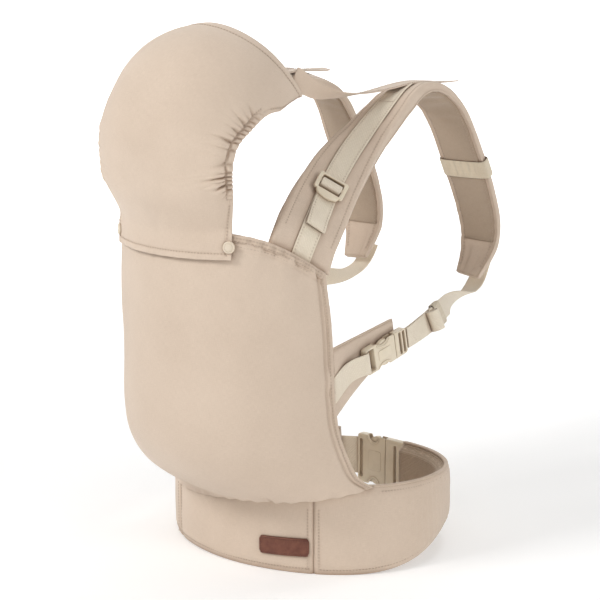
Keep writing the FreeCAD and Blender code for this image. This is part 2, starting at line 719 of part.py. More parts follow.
TAPE_ROUTE = [(81, -106, 566), (84, -62, 561), (88, -12, 563), (92, 38, 569.5), (95, 78, 571),
              (98, 108, 568.5), (101, 132, 563)]
TAPE_SIDES = [(0.9, 0.1, 0.3), (0.95, 0.1, 0.2), (1, 0, 0.1), (1, 0, 0), (1, 0, 0), (1, 0, 0), (1, 0, 0.1)]
TAPE_WIDTH = 22.0
TAPE_THICKNESS = 1.6
tape_frames = ribbon_frames(TAPE_ROUTE, TAPE_SIDES, 19)
pair("hood_tape", ribbon(tape_frames, constant(TAPE_WIDTH), -TAPE_THICKNESS / 2, TAPE_THICKNESS / 2))

# ---------------------------------------------------------------- checks and files
document.recompute()
for item in document.Objects:
    if "Invalid" in item.State or "Error" in item.State:
        raise RuntimeError(f"{item.Label} failed: {item.State}")
for item in parts:
    shape = item.Shape
    if shape.isNull() or not shape.isValid() or shape.Volume <= 0:
        raise RuntimeError(f"{item.Label} has no valid solid")
    shape.exportStep(f"parts/{item.Label}.step")
print(len(parts), "parts written")
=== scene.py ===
"""Soft baby carrier: the looks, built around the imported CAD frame.

Lengths in the tables and helpers are millimetres in the carrier's own frame (+Z up, the wearer on
the +Y side, +X the wearer's left, origin at the centre of the waist opening); meshes are in metres."""
import json
import math

import bmesh
import bpy
from mathutils import Matrix, Vector, noise

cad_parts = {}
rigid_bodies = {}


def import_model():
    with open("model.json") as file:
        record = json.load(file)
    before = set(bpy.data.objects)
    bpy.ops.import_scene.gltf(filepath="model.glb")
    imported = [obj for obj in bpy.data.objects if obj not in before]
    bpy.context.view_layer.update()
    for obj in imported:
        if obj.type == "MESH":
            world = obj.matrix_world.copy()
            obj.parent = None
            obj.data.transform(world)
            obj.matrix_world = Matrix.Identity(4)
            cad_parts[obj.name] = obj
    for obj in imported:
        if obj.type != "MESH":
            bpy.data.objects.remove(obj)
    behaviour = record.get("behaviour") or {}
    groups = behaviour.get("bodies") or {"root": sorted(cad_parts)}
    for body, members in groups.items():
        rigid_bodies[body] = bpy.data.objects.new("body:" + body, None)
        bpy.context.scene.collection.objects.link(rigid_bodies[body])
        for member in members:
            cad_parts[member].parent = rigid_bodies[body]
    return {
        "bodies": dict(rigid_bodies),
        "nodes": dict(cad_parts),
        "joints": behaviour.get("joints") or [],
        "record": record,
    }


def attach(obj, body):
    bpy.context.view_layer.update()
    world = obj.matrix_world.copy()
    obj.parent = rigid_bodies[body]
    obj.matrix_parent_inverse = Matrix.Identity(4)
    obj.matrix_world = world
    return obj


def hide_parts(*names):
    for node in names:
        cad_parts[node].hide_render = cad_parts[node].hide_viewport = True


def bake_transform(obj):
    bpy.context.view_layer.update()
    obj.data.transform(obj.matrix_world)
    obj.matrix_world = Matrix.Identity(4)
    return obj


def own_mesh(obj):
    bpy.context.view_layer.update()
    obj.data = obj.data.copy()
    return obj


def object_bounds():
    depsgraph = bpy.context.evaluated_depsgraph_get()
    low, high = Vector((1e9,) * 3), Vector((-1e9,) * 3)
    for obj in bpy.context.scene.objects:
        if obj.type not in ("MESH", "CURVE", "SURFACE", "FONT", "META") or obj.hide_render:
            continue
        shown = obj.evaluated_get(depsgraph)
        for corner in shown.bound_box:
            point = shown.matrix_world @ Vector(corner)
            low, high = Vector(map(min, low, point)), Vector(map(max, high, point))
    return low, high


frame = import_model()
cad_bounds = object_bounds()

MM = 0.001
ROOT = "carrier"
SIDES = {"left": 1.0, "right": -1.0}


# ======== small mathematics
def spline(keys, values):
    """A natural cubic through (key, value) pairs; values are numbers or vectors."""
    count = len(keys)
    gaps = [keys[i + 1] - keys[i] for i in range(count - 1)]
    zero = values[0] * 0
    lower, upper, bends = [0.0] * count, [0.0] * count, [zero] * count
    for i in range(1, count - 1):
        pivot = 2 * (keys[i + 1] - keys[i - 1]) - gaps[i - 1] * lower[i - 1]
        slope = (values[i + 1] - values[i]) * (6 / gaps[i]) - (values[i] - values[i - 1]) * (6 / gaps[i - 1])
        lower[i] = gaps[i] / pivot
        bends[i] = (slope - bends[i - 1] * gaps[i - 1]) * (1 / pivot)
    for i in range(count - 2, 0, -1):
        bends[i] = bends[i] - bends[i + 1] * lower[i]

    def value(key):
        index = 0
        while index < count - 2 and key > keys[index + 1]:
            index += 1
        gap = gaps[index]
        after, before = key - keys[index], keys[index + 1] - key
        straight = (values[index] * before + values[index + 1] * after) * (1 / gap)
        low = bends[index] * ((before ** 3 / gap - before * gap) / 6)
        high = bends[index + 1] * ((after ** 3 / gap - after * gap) / 6)
        return straight + low + high
    return value


def table(rows, key):
    """Straight-line reading of (key, value) rows."""
    for (low, first), (high, second) in zip(rows, rows[1:]):
        if key <= high:
            return first + (second - first) * max(0.0, (key - low) / (high - low))
    return rows[-1][1]


def smooth(low, high, value):
    """0 below low, 1 above high, easing between."""
    share = min(1.0, max(0.0, (value - low) / (high - low)))
    return share * share * (3 - 2 * share)


def bell(value, middle, width):
    """1 at the middle, falling to about a third at a width from it."""
    return math.exp(-((value - middle) / width) ** 2)


def wobble(point, scale, seed=0.0):
    """Smooth noise, about -1 to 1, with features of about the scale in millimetres."""
    return noise.noise(Vector((point.x / scale + seed, point.y / scale - seed, point.z / scale)))


# ======== meshes
def add_object(name, data):
    """A new object in the scene."""
    item = bpy.data.objects.new(name, data)
    bpy.context.scene.collection.objects.link(item)
    return item


class Surface:
    """Collects grids of points with a cloth map (metres along the cloth) and makes an object."""

    def __init__(self):
        self.points, self.faces, self.maps = [], [], []

    def grid(self, rows, wrap=False, turn=False):
        """Rows of points; wrap closes each row; turn reverses the faces."""
        base = len(self.points)
        wide, tall = len(rows[0]), len(rows)
        for row in rows:
            self.points.extend(row)
        middle, halfway = rows[tall // 2], wide // 2
        strips = wide if wrap else wide - 1
        across, along = [0.0], [0.0]
        for i in range(strips):
            across.append(across[-1] + (middle[(i + 1) % wide] - middle[i]).length)
        for before, after in zip(rows, rows[1:]):
            along.append(along[-1] + (after[halfway] - before[halfway]).length)
        for j in range(tall - 1):
            for i in range(strips):
                near = (i + 1) % wide
                face = [base + j * wide + i, base + j * wide + near,
                        base + (j + 1) * wide + near, base + (j + 1) * wide + i]
                spots = [(across[i], along[j]), (across[i + 1], along[j]),
                         (across[i + 1], along[j + 1]), (across[i], along[j + 1])]
                self.add(face, [(a * MM, b * MM) for a, b in spots], turn)
        return base

    def add(self, face, spots, turn=False):
        if turn:
            face, spots = face[::-1], spots[::-1]
        self.faces.append(face)
        self.maps.append(spots)

    def bridge(self, first, second):
        """Join two equal closed loops of point numbers with a strip."""
        for i, near in enumerate(first):
            k = (i + 1) % len(first)
            face = [near, first[k], second[k], second[i]]
            step = (self.points[first[k]] - self.points[near]).length * MM
            width = (self.points[second[i]] - self.points[near]).length * MM
            self.add(face, [(0, 0), (step, 0), (step, width), (0, width)])

    def hub(self, loop, turn):
        """Close an open end with a fan of triangles to its centre."""
        centre = sum((self.points[k] for k in loop), Vector()) / len(loop)
        middle = len(self.points)
        self.points.append(centre)
        for i, k in enumerate(loop):
            after = loop[(i + 1) % len(loop)]
            spots = [((self.points[n] - centre).length * MM, 0.0) for n in (k, after)] + [(0.0, 0.0)]
            self.add([k, after, middle], spots, turn)

    def tube(self, rows, turn=True):
        """Closed rows joined into a tube, with both of its ends closed."""
        base = self.grid(rows, wrap=True, turn=turn)
        wide = len(rows[0])
        self.hub([base + i for i in range(wide)], not turn)
        self.hub([base + (len(rows) - 1) * wide + i for i in range(wide)], turn)
        return self

    def make(self, name, slot, body=ROOT, side=1.0, stands_for=(), material=None, levels=0):
        """The finished object, in its slot's own material unless another is named.

        side -1 mirrors it to the wearer's right."""
        order = 1 if side > 0 else -1
        mesh = bpy.data.meshes.new(name)
        mesh.from_pydata([Vector((p.x * side, p.y, p.z)) * MM for p in self.points], [],
                         [face[::order] for face in self.faces])
        layer = mesh.uv_layers.new(name="cloth")
        spots = [spot for row in self.maps for spot in row[::order]]
        for corner, spot in zip(layer.data, spots):
            corner.uv = spot
        mesh.shade_smooth()
        mesh.validate()
        mesh.materials.append(MATERIALS[material or slot])
        item = add_object(name, mesh)
        if levels:
            modifier = item.modifiers.new("smooth", "SUBSURF")
            modifier.levels = modifier.render_levels = levels
        return dress(item, body, stands_for)


def dress(item, body, stands_for=()):
    """Body, and the CAD nodes that a piece stands for."""
    if body is not None:
        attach(item, body)
    if stands_for:
        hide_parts(*stands_for)
    return item


def lattice(columns, rows, point):
    """Rows of point(across, up), where both run from 0 to 1."""
    return [[point(i / (columns - 1), j / (rows - 1)) for i in range(columns)] for j in range(rows)]


def shell(outer, inner):
    """A closed sheet between two equal grids of rows."""
    surface = Surface()
    wide, tall = len(outer[0]), len(outer)

    def border(base):
        loop = [base + i for i in range(wide)]
        loop += [base + j * wide + wide - 1 for j in range(1, tall)]
        loop += [base + (tall - 1) * wide + i for i in range(wide - 2, -1, -1)]
        return loop + [base + j * wide for j in range(tall - 2, 0, -1)]
    first = border(surface.grid(outer))
    surface.bridge(border(surface.grid(inner, turn=True)), first)
    return surface


def along_keys(points):
    """The distance of each point along its route."""
    keys = [0.0]
    for before, after in zip(points, points[1:]):
        keys.append(keys[-1] + (after - before).length)
    return keys


def ribbon_frames(points, sides, count):
    """Positions, width directions and outward normals at even steps along a smooth path."""
    points = [Vector(p) for p in points]
    keys = along_keys(points)
    sides = list(zip(keys, [Vector(s) for s in sides]))
    path = spline(keys, points)
    frames = []
    for index in range(count):
        key = keys[-1] * index / (count - 1)
        along = (path(min(keys[-1], key + 0.5)) - path(max(0.0, key - 0.5))).normalized()
        across = table(sides, key)
        across = (across - along * across.dot(along)).normalized()
        frames.append((path(key), across, across.cross(along)))
    return frames


def part_of(frames, start, end):
    """The stretch of a row of frames between two shares of its length."""
    last = len(frames) - 1
    return frames[round(start * last):round(end * last) + 1]


def raised(frames, height):
    """The same frames lifted outward."""
    return [(p + o * height, a, o) for p, a, o in frames]


def oval(width, height, power, steps=10):
    """A flattened closed outline: (across, outward) points, top row then underside."""
    top = []
    for index in range(steps + 1):
        turn = math.pi * index / steps
        x = -math.copysign(abs(math.cos(turn)) ** (2 / power), math.cos(turn))
        top.append((x * width / 2, abs(math.sin(turn)) ** (2 / power) * height / 2))
    return top + [(x, -y) for x, y in reversed(top[1:-1])]


def sweep(frames, outline):
    """A closed tube along frames; outline(share) gives its closed (across, outward) points."""
    last = len(frames) - 1
    return Surface().tube([[place + across * a + outward * o for a, o in outline(index / last)]
                           for index, (place, across, outward) in enumerate(frames)])


def flat(width, height, power=9.0, steps=10):
    """The outline of a strip of constant size."""
    outline = oval(width, height, power, steps)
    return lambda share: outline


SHARP = math.radians(40)


def plate(name, outline, holes, depth, bevel, place, body, stands_for=()):
    """A moulded plate: an outline with holes, extruded, with rounded edges, put in a placement."""
    curve = bpy.data.curves.new(name, "CURVE")
    curve.dimensions = "2D"
    curve.fill_mode = "BOTH"
    curve.extrude = (depth / 2 - bevel) * MM
    curve.bevel_depth = bevel * MM
    curve.bevel_resolution = 2
    curve.offset = -bevel * MM
    for loop in [outline] + holes:
        line = curve.splines.new("POLY")
        line.points.add(len(loop) - 1)
        for point, (x, y) in zip(line.points, loop):
            point.co = (x * MM, y * MM, 0, 1)
        line.use_cyclic_u = True
    source = add_object(name + "_curve", curve)
    mesh = bpy.data.meshes.new_from_object(source.evaluated_get(bpy.context.evaluated_depsgraph_get()))
    bpy.data.objects.remove(source)
    mesh.transform(place)
    if place.determinant() < 0:
        mesh.flip_normals()
    mesh.name = name
    weld(mesh)
    mesh.materials.clear()
    mesh.materials.append(MATERIALS["buckle_plastic"])
    mesh.shade_smooth()
    mesh.set_sharp_from_angle(angle=SHARP)
    return dress(add_object(name, mesh), body, stands_for)


def weld(mesh):
    """Join points that lie together."""
    work = bmesh.new()
    work.from_mesh(mesh)
    bmesh.ops.remove_doubles(work, verts=work.verts, dist=1e-6)
    work.to_mesh(mesh)
    work.free()


def rounded(x0, x1, y0, y1, radius, steps=5):
    """A rectangle's outline with rounded corners."""
    loop = []
    for cx, cy, start in ((x1 - radius, y1 - radius, 0), (x0 + radius, y1 - radius, 90),
                          (x0 + radius, y0 + radius, 180), (x1 - radius, y0 + radius, 270)):
        for index in range(steps + 1):
            turn = math.radians(start + 90 * index / steps)
            loop.append((cx + radius * math.cos(turn), cy + radius * math.sin(turn)))
    return loop


def placement(place, along, outward, side=1.0):
    """Local X along, local Z outward, in metres, mirrored for the wearer's right."""
    across = outward.cross(along)
    matrix = Matrix((along, across, outward)).transposed().to_4x4()
    matrix.translation = place * MM
    return Matrix.Diagonal((side, 1, 1, 1)) @ matrix


# ======== materials
def fresh(name):
    material = bpy.data.materials.new(name)
    material.use_nodes = True
    tree = material.node_tree
    return material, tree, tree.nodes["Principled BSDF"]


def fill(tree, node, **settings):
    """Inputs and properties of a node. A socket is linked; an underscore stands for a space."""
    for key, value in settings.items():
        label = key.replace("_", " ")
        if label not in node.inputs:
            setattr(node, key, value)
        elif isinstance(value, bpy.types.NodeSocket):
            tree.links.new(value, node.inputs[label])
        else:
            node.inputs[label].default_value = value
    return node


def add_node(tree, kind, **settings):
    return fill(tree, tree.nodes.new("ShaderNode" + kind), **settings)


def ramp(tree, source, low, high, first, second):
    node = add_node(tree, "ValToRGB", Fac=source)
    for stop, place, colour in zip(node.color_ramp.elements, (low, high), (first, second)):
        stop.position = place
        stop.color = (*colour, 1)
    return node.outputs[0]


def math_node(tree, operation, first, second):
    node = add_node(tree, "Math", operation=operation)
    for socket, value in zip(node.inputs, (first, second)):
        if isinstance(value, float):
            socket.default_value = value
        else:
            tree.links.new(value, socket)
    return node.outputs[0]


def add_share(tree, total, part, share):
    """total + part * share"""
    return math_node(tree, "ADD", total, math_node(tree, "MULTIPLY", part, share))


def wave(tree, uv, pitch_mm, direction):
    """Slightly uneven ridges across the cloth map, one per pitch."""
    return add_node(tree, "TexWave", Vector=uv, Scale=0.31416 / (pitch_mm * MM), Distortion=0.6,
                    bands_direction=direction, Detail=1.0, Detail_Scale=0.35).outputs["Fac"]


def slub_noise(tree, uv, stretch):
    """Noise drawn out along one set of threads."""
    drawn = add_node(tree, "Mapping", Vector=uv, Scale=stretch).outputs[0]
    return add_node(tree, "TexNoise", Vector=drawn, Scale=1.0, Detail=2.0).outputs["Fac"]


def cloth(name, light, dark, warp, weft, bump=0.35, depth=0.35, sheen=0.25, roughness=0.88,
          mottle=0.5, herring=False):
    """Woven material: two sets of threads with pitches in millimetres, slubs and soft mottling."""
    material, tree, shader = fresh(name)
    uv = add_node(tree, "UVMap", uv_map="cloth").outputs["UV"]
    first = wave(tree, uv, warp, "X")
    second = wave(tree, uv, weft, "DIAGONAL" if herring else "Y")
    threads = add_share(tree, math_node(tree, "MULTIPLY", first, second), first, 0.35)
    slubs = math_node(tree, "MULTIPLY", slub_noise(tree, uv, (2200, 160, 1)),
                      slub_noise(tree, uv, (160, 2200, 1)))
    place = add_node(tree, "TexCoord").outputs["Object"]
    cloud = add_node(tree, "TexNoise", Vector=place, Scale=14.0, Detail=4.0, Roughness=0.6)
    blend = math_node(tree, "MULTIPLY", cloud.outputs["Fac"], mottle)
    blend = add_share(tree, add_share(tree, blend, slubs, 1.1), threads, 0.22)
    bumps = add_node(tree, "Bump", Strength=bump, Distance=depth * MM,
                     Height=add_share(tree, threads, slubs, 1.2))
    fill(tree, shader, Roughness=roughness, Sheen_Weight=sheen, Sheen_Roughness=0.45,
         Specular_IOR_Level=0.25, Base_Color=ramp(tree, blend, 0.28, 0.95, dark, light),
         Normal=bumps.outputs[0])
    return material


def solid(name, light, dark, clouds, band, grain, output, relief, **finish):
    """A material with cloudy colour between two tones, and the output of a grain node as bumps."""
    material, tree, shader = fresh(name)
    place = add_node(tree, "TexCoord").outputs["Object"]
    cloud = add_node(tree, "TexNoise", Vector=place, **clouds).outputs["Fac"]
    height = add_node(tree, Vector=place, **grain).outputs[output]
    bumps = add_node(tree, "Bump", Height=height, **relief)
    fill(tree, shader, Base_Color=ramp(tree, cloud, *band, dark, light), Normal=bumps.outputs[0],
         **finish)
    return material


def moulded(name, light, dark, roughness=0.4):
    """Satin moulded plastic with a faint texture and slightly dirtier patches."""
    return solid(name, light, dark, {"Scale": 60.0, "Detail": 3.0}, (0.3, 0.7),
                 {"kind": "TexNoise", "Scale": 1800.0, "Detail": 2.0}, "Fac",
                 {"Strength": 0.12, "Distance": 0.2 * MM}, Roughness=roughness, Specular_IOR_Level=0.45,
                 Subsurface_Weight=0.06, Subsurface_Radius=(0.004, 0.003, 0.002))


def hide(name, light, dark):
    """Smooth leather with a fine pebble grain and uneven dye."""
    return solid(name, light, dark, {"Scale": 120.0, "Detail": 5.0, "Roughness": 0.65}, (0.32, 0.7),
                 {"kind": "TexVoronoi", "Scale": 900.0}, "Distance",
                 {"Strength": 0.35, "Distance": 0.3 * MM}, Roughness=0.5, Specular_IOR_Level=0.4)


MATERIALS = {
    "shell_fabric": cloth("shell_cotton", (0.735, 0.605, 0.490), (0.600, 0.478, 0.375), 0.8, 0.8),
    "lining_fabric": cloth("ribbed_lining", (0.61, 0.485, 0.370), (0.44, 0.345, 0.255), 1.1, 1.6,
                           bump=0.5, sheen=0.15),
    "binding_fabric": cloth("folded_binding", (0.70, 0.57, 0.455), (0.57, 0.45, 0.35), 0.7, 0.7),
    "webbing": cloth("woven_webbing", (0.960, 0.865, 0.715), (0.790, 0.690, 0.545), 1.5, 1.9,
                     bump=0.7, depth=0.6, sheen=0.3, roughness=0.7, mottle=0.35, herring=True),
    "elastic": cloth("ribbed_elastic", (0.860, 0.760, 0.600), (0.70, 0.60, 0.45), 1.4, 0.9, bump=0.7,
                     depth=0.6, mottle=0.3),
    "strap_lining": cloth("strap_lining", (0.510, 0.405, 0.310), (0.390, 0.300, 0.220), 0.9, 0.9),
    "buckle_plastic": moulded("cream_plastic", (0.800, 0.705, 0.550), (0.740, 0.645, 0.495)),
    "snap_plastic": moulded("snap_plastic", (0.740, 0.640, 0.510), (0.680, 0.580, 0.450), 0.35),
    "leather": hide("patch_leather", (0.195, 0.071, 0.043), (0.124, 0.040, 0.025)),
    "thread": cloth("sewing_thread", (0.66, 0.54, 0.43), (0.54, 0.43, 0.34), 0.5, 0.5),
    "web_thread": cloth("webbing_thread", (0.90, 0.80, 0.66), (0.76, 0.66, 0.53), 0.5, 0.5),
    "dark_thread": cloth("patch_thread", (0.16, 0.06, 0.04), (0.10, 0.035, 0.025), 0.5, 0.5),
}


# Painted shade: the dark brown that the base colour is multiplied towards in deep folds, and how far the
# occlusion looks, in millimetres.
FOLD_SHADE_TINT = (0.40, 0.28, 0.20, 1)
FOLD_REACH = 7.0


def shade_folds(material):
    """Painted shade: folds, seams and the edges where pieces meet let in little light, so an occlusion node
    darkens and browns their base colour.
    """
    tree = material.node_tree
    shader = tree.nodes["Principled BSDF"]
    plain = shader.inputs["Base Color"].links[0].from_socket
    open_share = add_node(tree, "AmbientOcclusion", samples=8, Distance=FOLD_REACH * MM).outputs["AO"]
    deep = add_node(tree, "Mix", data_type="RGBA", blend_type="MULTIPLY", Factor=1.0, A=plain, B=FOLD_SHADE_TINT)
    mixed = add_node(tree, "Mix", data_type="RGBA", Factor=open_share, A=deep.outputs["Result"], B=plain)
    fill(tree, shader, Base_Color=mixed.outputs["Result"])


# Every material gets the painted shade in its folds, seams and contacts.
for cloth_material in MATERIALS.values():
    shade_folds(cloth_material)


# One stitch's rings: share of its length, share of its radius, and lift off the cloth.
STITCH_RINGS = [(0.0, 0.15, -0.35), (0.14, 0.85, -0.05), (0.5, 1.0, 0.12), (0.86, 0.85, -0.05),
                (1.0, 0.15, -0.35)]
STITCH_SIDES = 5


def stitches(name, body, route, normals, material="thread", slot="shell_fabric", length=2.6, gap=1.3,
             radius=0.38, side=1.0):
    """A row of sewn stitches along a route of points, lying on the cloth."""
    surface = Surface()
    keys = along_keys(route)
    places, ups = list(zip(keys, route)), list(zip(keys, normals))
    key = gap
    while key + length < keys[-1]:
        start, end = table(places, key), table(places, key + length)
        up = table(ups, key + length / 2).normalized()
        across = (end - start).normalized().cross(up).normalized()
        rows = []
        for share, scale, lift in STITCH_RINGS:
            middle = start + (end - start) * share + up * (lift + radius * 0.6)
            turns = [2 * math.pi * k / STITCH_SIDES for k in range(STITCH_SIDES)]
            rows.append([middle + (across * math.cos(t) + up * math.sin(t)) * radius * scale for t in turns])
        surface.tube(rows)
        key += length + gap
    return surface.make(name, slot, body, side, material=material)


# ======== camera, light and floor (metres)
CAMERA_TARGET = Vector((0.0, -0.020, 0.300))
CAMERA_AZIMUTH, CAMERA_ELEVATION = math.radians(41.0), math.radians(12.5)
CAMERA_DISTANCE, CAMERA_LENS, SENSOR_WIDTH = 2.6, 127.9, 36.0
# Each light: how far it stands towards the camera and to its right, a further move, watts and size.
LIGHTS = {"key": (1.1, -1.8, (0.0, 0.0, 1.2), 32.0, 0.7), "fill": (1.7, 1.3, (0.0, 0.0, 0.4), 14.0, 0.9),
          "top": (0.0, 0.5, (0.0, 0.1, 2.0), 6.0, 0.6)}
WORLD_COLOUR, WORLD_STRENGTH = (1.0, 0.99, 0.975, 1), 0.32
# The sweep, in metres: half its width, the floor's near and far ends, the bend's radius, its top.
SWEEP_HALF, SWEEP_NEAR, SWEEP_FAR, SWEEP_BEND, SWEEP_TOP = 8.0, -4.0, 3.4, 1.4, 6.0
SWEEP_GREY = (0.86, 0.86, 0.86, 1)
# The sweep glows a little, more with distance from the carrier: distances, then strengths.
GLOW_FROM, GLOW_TO = (0.3, 2.6), (0.22, 0.85)


def aim(item, target):
    item.rotation_euler = (Vector(target) - item.location).to_track_quat("-Z", "Y").to_euler()


def stage_set():
    back = Vector((math.sin(CAMERA_AZIMUTH) * math.cos(CAMERA_ELEVATION),
                   -math.cos(CAMERA_AZIMUTH) * math.cos(CAMERA_ELEVATION), math.sin(CAMERA_ELEVATION)))
    right = Vector((math.cos(CAMERA_AZIMUTH), math.sin(CAMERA_AZIMUTH), 0))
    camera = add_object("camera", bpy.data.cameras.new("camera"))
    camera.location = CAMERA_TARGET + back * CAMERA_DISTANCE
    aim(camera, CAMERA_TARGET)
    camera.data.lens = CAMERA_LENS
    camera.data.sensor_width = SENSOR_WIDTH
    bpy.context.scene.camera = camera
    world = bpy.data.worlds.new("studio")
    bpy.context.scene.world = world
    world.use_nodes = True
    fill(world.node_tree, world.node_tree.nodes["Background"], Color=WORLD_COLOUR, Strength=WORLD_STRENGTH)
    for name, (nearer, rightward, move, power, size) in LIGHTS.items():
        lamp = add_object(name, bpy.data.lights.new(name, "AREA"))
        lamp.data.energy = power
        lamp.data.size = size
        lamp.location = CAMERA_TARGET + back * nearer + right * rightward + Vector(move)
        aim(lamp, CAMERA_TARGET)
    build_sweep(right)
    bpy.context.scene.view_settings.view_transform = "Standard"


def build_sweep(right):
    """The floor runs away from the camera and curves up into a wall."""
    away = Vector((-right.y, right.x, 0))
    profile = [(SWEEP_NEAR, 0.0), (0.0, 0.0), (SWEEP_FAR, 0.0)]
    for step in range(1, 13):
        turn = step * math.pi / 24
        profile.append((SWEEP_FAR + SWEEP_BEND * math.sin(turn), SWEEP_BEND - SWEEP_BEND * math.cos(turn)))
    profile.append((SWEEP_FAR + SWEEP_BEND, SWEEP_TOP))
    low = cad_bounds[0][2] - 0.0005
    points = [away * u + right * across + Vector((0, 0, low + z)) for u, z in profile
              for across in (-SWEEP_HALF, SWEEP_HALF)]
    faces = [(2 * i, 2 * i + 1, 2 * i + 3, 2 * i + 2) for i in range(len(profile) - 1)]
    mesh = bpy.data.meshes.new("backdrop")
    mesh.from_pydata(points, [], faces)
    backdrop = add_object("backdrop", mesh)
    material, tree, shader = fresh("white_sweep")
    distance = add_node(tree, "VectorMath", operation="DOT_PRODUCT")
    distance.inputs[1].default_value = away
    tree.links.new(add_node(tree, "TexCoord").outputs["Object"], distance.inputs[0])
    glow = add_node(tree, "MapRange", Value=distance.outputs["Value"], From_Min=GLOW_FROM[0],
                    From_Max=GLOW_FROM[1], To_Min=GLOW_TO[0], To_Max=GLOW_TO[1])
    fill(tree, shader, Base_Color=SWEEP_GREY, Roughness=0.95, Emission_Color=(1, 1, 1, 1),
         Emission_Strength=glow.outputs["Result"])
    mesh.materials.append(material)


stage_set()

# ======== front panel
# Horizontal sections of the panel's outer face: height, then the side edge and the foremost point.
PANEL = [
    (66, 163, -79, -155), (84, 163, -80, -158), (94, 163, -74, -178), (103, 162, -70, -196),
    (115, 159, -86, -214), (137, 155, -105, -236), (160, 153, -116, -250), (183, 152, -125, -257),
    (217, 151, -131, -260), (279, 150, -135, -260), (320, 150, -139, -260), (373, 148, -146, -260),
    (440, 148, -147, -260),
]
# The hem is sewn to the belt a little lower on the wearer's right: share of the width, and height.
HEM = [(-1.0, 78), (-0.6, 71), (-0.2, 75), (0.1, 82), (0.39, 89), (0.68, 98), (1.0, 107)]
# The top edge: distance from the middle, and height.
TOP_EDGE = [(0, 430), (55, 428), (85, 422), (115, 413), (135, 396), (149, 370), (158, 340)]
panel_edge_x, panel_edge_y, panel_front_y = [
    spline([row[0] for row in PANEL], [float(row[column]) for row in PANEL]) for column in (1, 2, 3)]
top_edge = spline([x for x, z in TOP_EDGE], [float(z) for x, z in TOP_EDGE])
hem_line = spline([share for share, z in HEM], [float(z) for share, z in HEM])
LAYER = 3.3
LAYER_GAP = 0.3


def panel_arc(height):
    """Radius, centre and edge angle of the panel's section at a height."""
    edge_x, edge_y, front_y = panel_edge_x(height), panel_edge_y(height), panel_front_y(height)
    rise = edge_y - front_y
    radius = (edge_x ** 2 + rise ** 2) / (2 * rise)
    return radius, front_y + radius, math.atan2(edge_x, radius - rise)


def panel_point(share, height, depth=0.0):
    """A point on the panel; share runs from -1 to 1 across it."""
    radius, centre, reach = panel_arc(height)
    turn = share * reach
    return Vector(((radius - depth) * math.sin(turn), centre - (radius - depth) * math.cos(turn), height))


def panel_top(share):
    """The height of the panel's top edge at a share of its width."""
    height = 400.0
    for step in range(3):
        height = top_edge(min(157.0, abs(panel_point(share, height).x)))
    return height


def panel_normal(share, height):
    wide = panel_point(share + 0.01, height) - panel_point(share - 0.01, height)
    tall = panel_point(share, height + 1.5) - panel_point(share, height - 1.5)
    return wide.cross(tall).normalized()


def panel_relief(share, height, top):
    """How far the cloth stands off its plain shape: soft folds, puckers at the seams, a hem tuck."""
    point = panel_point(share, height)
    below, above = top - height, height - hem_line(share)
    side, arc = abs(share), share * 165
    edge = (1 - side) * 190
    fold = 1.7 * wobble(point, 95, 3.1) + 0.8 * wobble(point, 42, 7.7)
    pucker = 1.1 * math.sin(arc / 1.7 + 2.5 * wobble(point, 30, 1.3)) * math.exp(-below / 8.0)
    pucker *= smooth(0.42, 0.56, side)
    drag = 1.7 * math.sin(arc / 4.6 + 3 * wobble(point, 50, 5.0)) * math.exp(-below / 24.0)
    drag *= smooth(0.45, 0.65, side)
    hem = 0.8 * math.sin(arc / 3.3 + 3 * wobble(point, 40, 2.2)) * math.exp(-above / 8.0)
    tuck = -3.4 * bell(arc, 62, 2.6) * bell(above, 0, 11.0)
    pull = 1.5 * bell(height, 240, 26.0) * math.sin((height - 240) / 6.5)
    pull *= smooth(0.82, 1.0, side)
    seam = 0.9 * bell(below, 12.0, 1.5) + 2.2 * bell(edge, 10.5, 1.4)
    return fold * smooth(0, 25, above) * smooth(0, 12, below) + pucker + drag + hem + tuck + pull - seam


PANEL_REACH = 0.982
PANEL_DROP = 3.0


def panel_layer(outside, inside, relief=1.0, columns=210, rows=160):
    """One layer of the panel; both layers flatten towards the hem, where they are sewn to the belt."""
    def face(depth):
        def point(across, up):
            rise = up ** 1.2
            rise = rise + 0.15 * rise * (1 - rise)
            linear = 2 * across - 1
            share = PANEL_REACH * math.copysign(1 - (1 - abs(linear)) ** 1.15, linear)
            top, low = panel_top(share) - PANEL_DROP, hem_line(share)
            height = low + (top - low) * rise
            thin = 0.35 + 0.65 * smooth(0, 35, height - low)
            out = panel_relief(share, height, top) * relief
            return panel_point(share, height, depth * thin) + panel_normal(share, height) * out
        return lattice(columns, rows, point)
    return shell(face(outside), face(inside))


def build_panel():
    cloth_front = panel_layer(0.0, LAYER).make("front_panel_cloth", "shell_fabric",
                                               stands_for=("front_panel",))
    back = panel_layer(LAYER + LAYER_GAP, 2 * LAYER + LAYER_GAP, 0.8, 110, 90)
    cloth_back = back.make("panel_lining_cloth", "lining_fabric", stands_for=("panel_lining",),
                           material="shell_fabric")


BINDING_THICK, BINDING_POWER = 9.6, 3.4


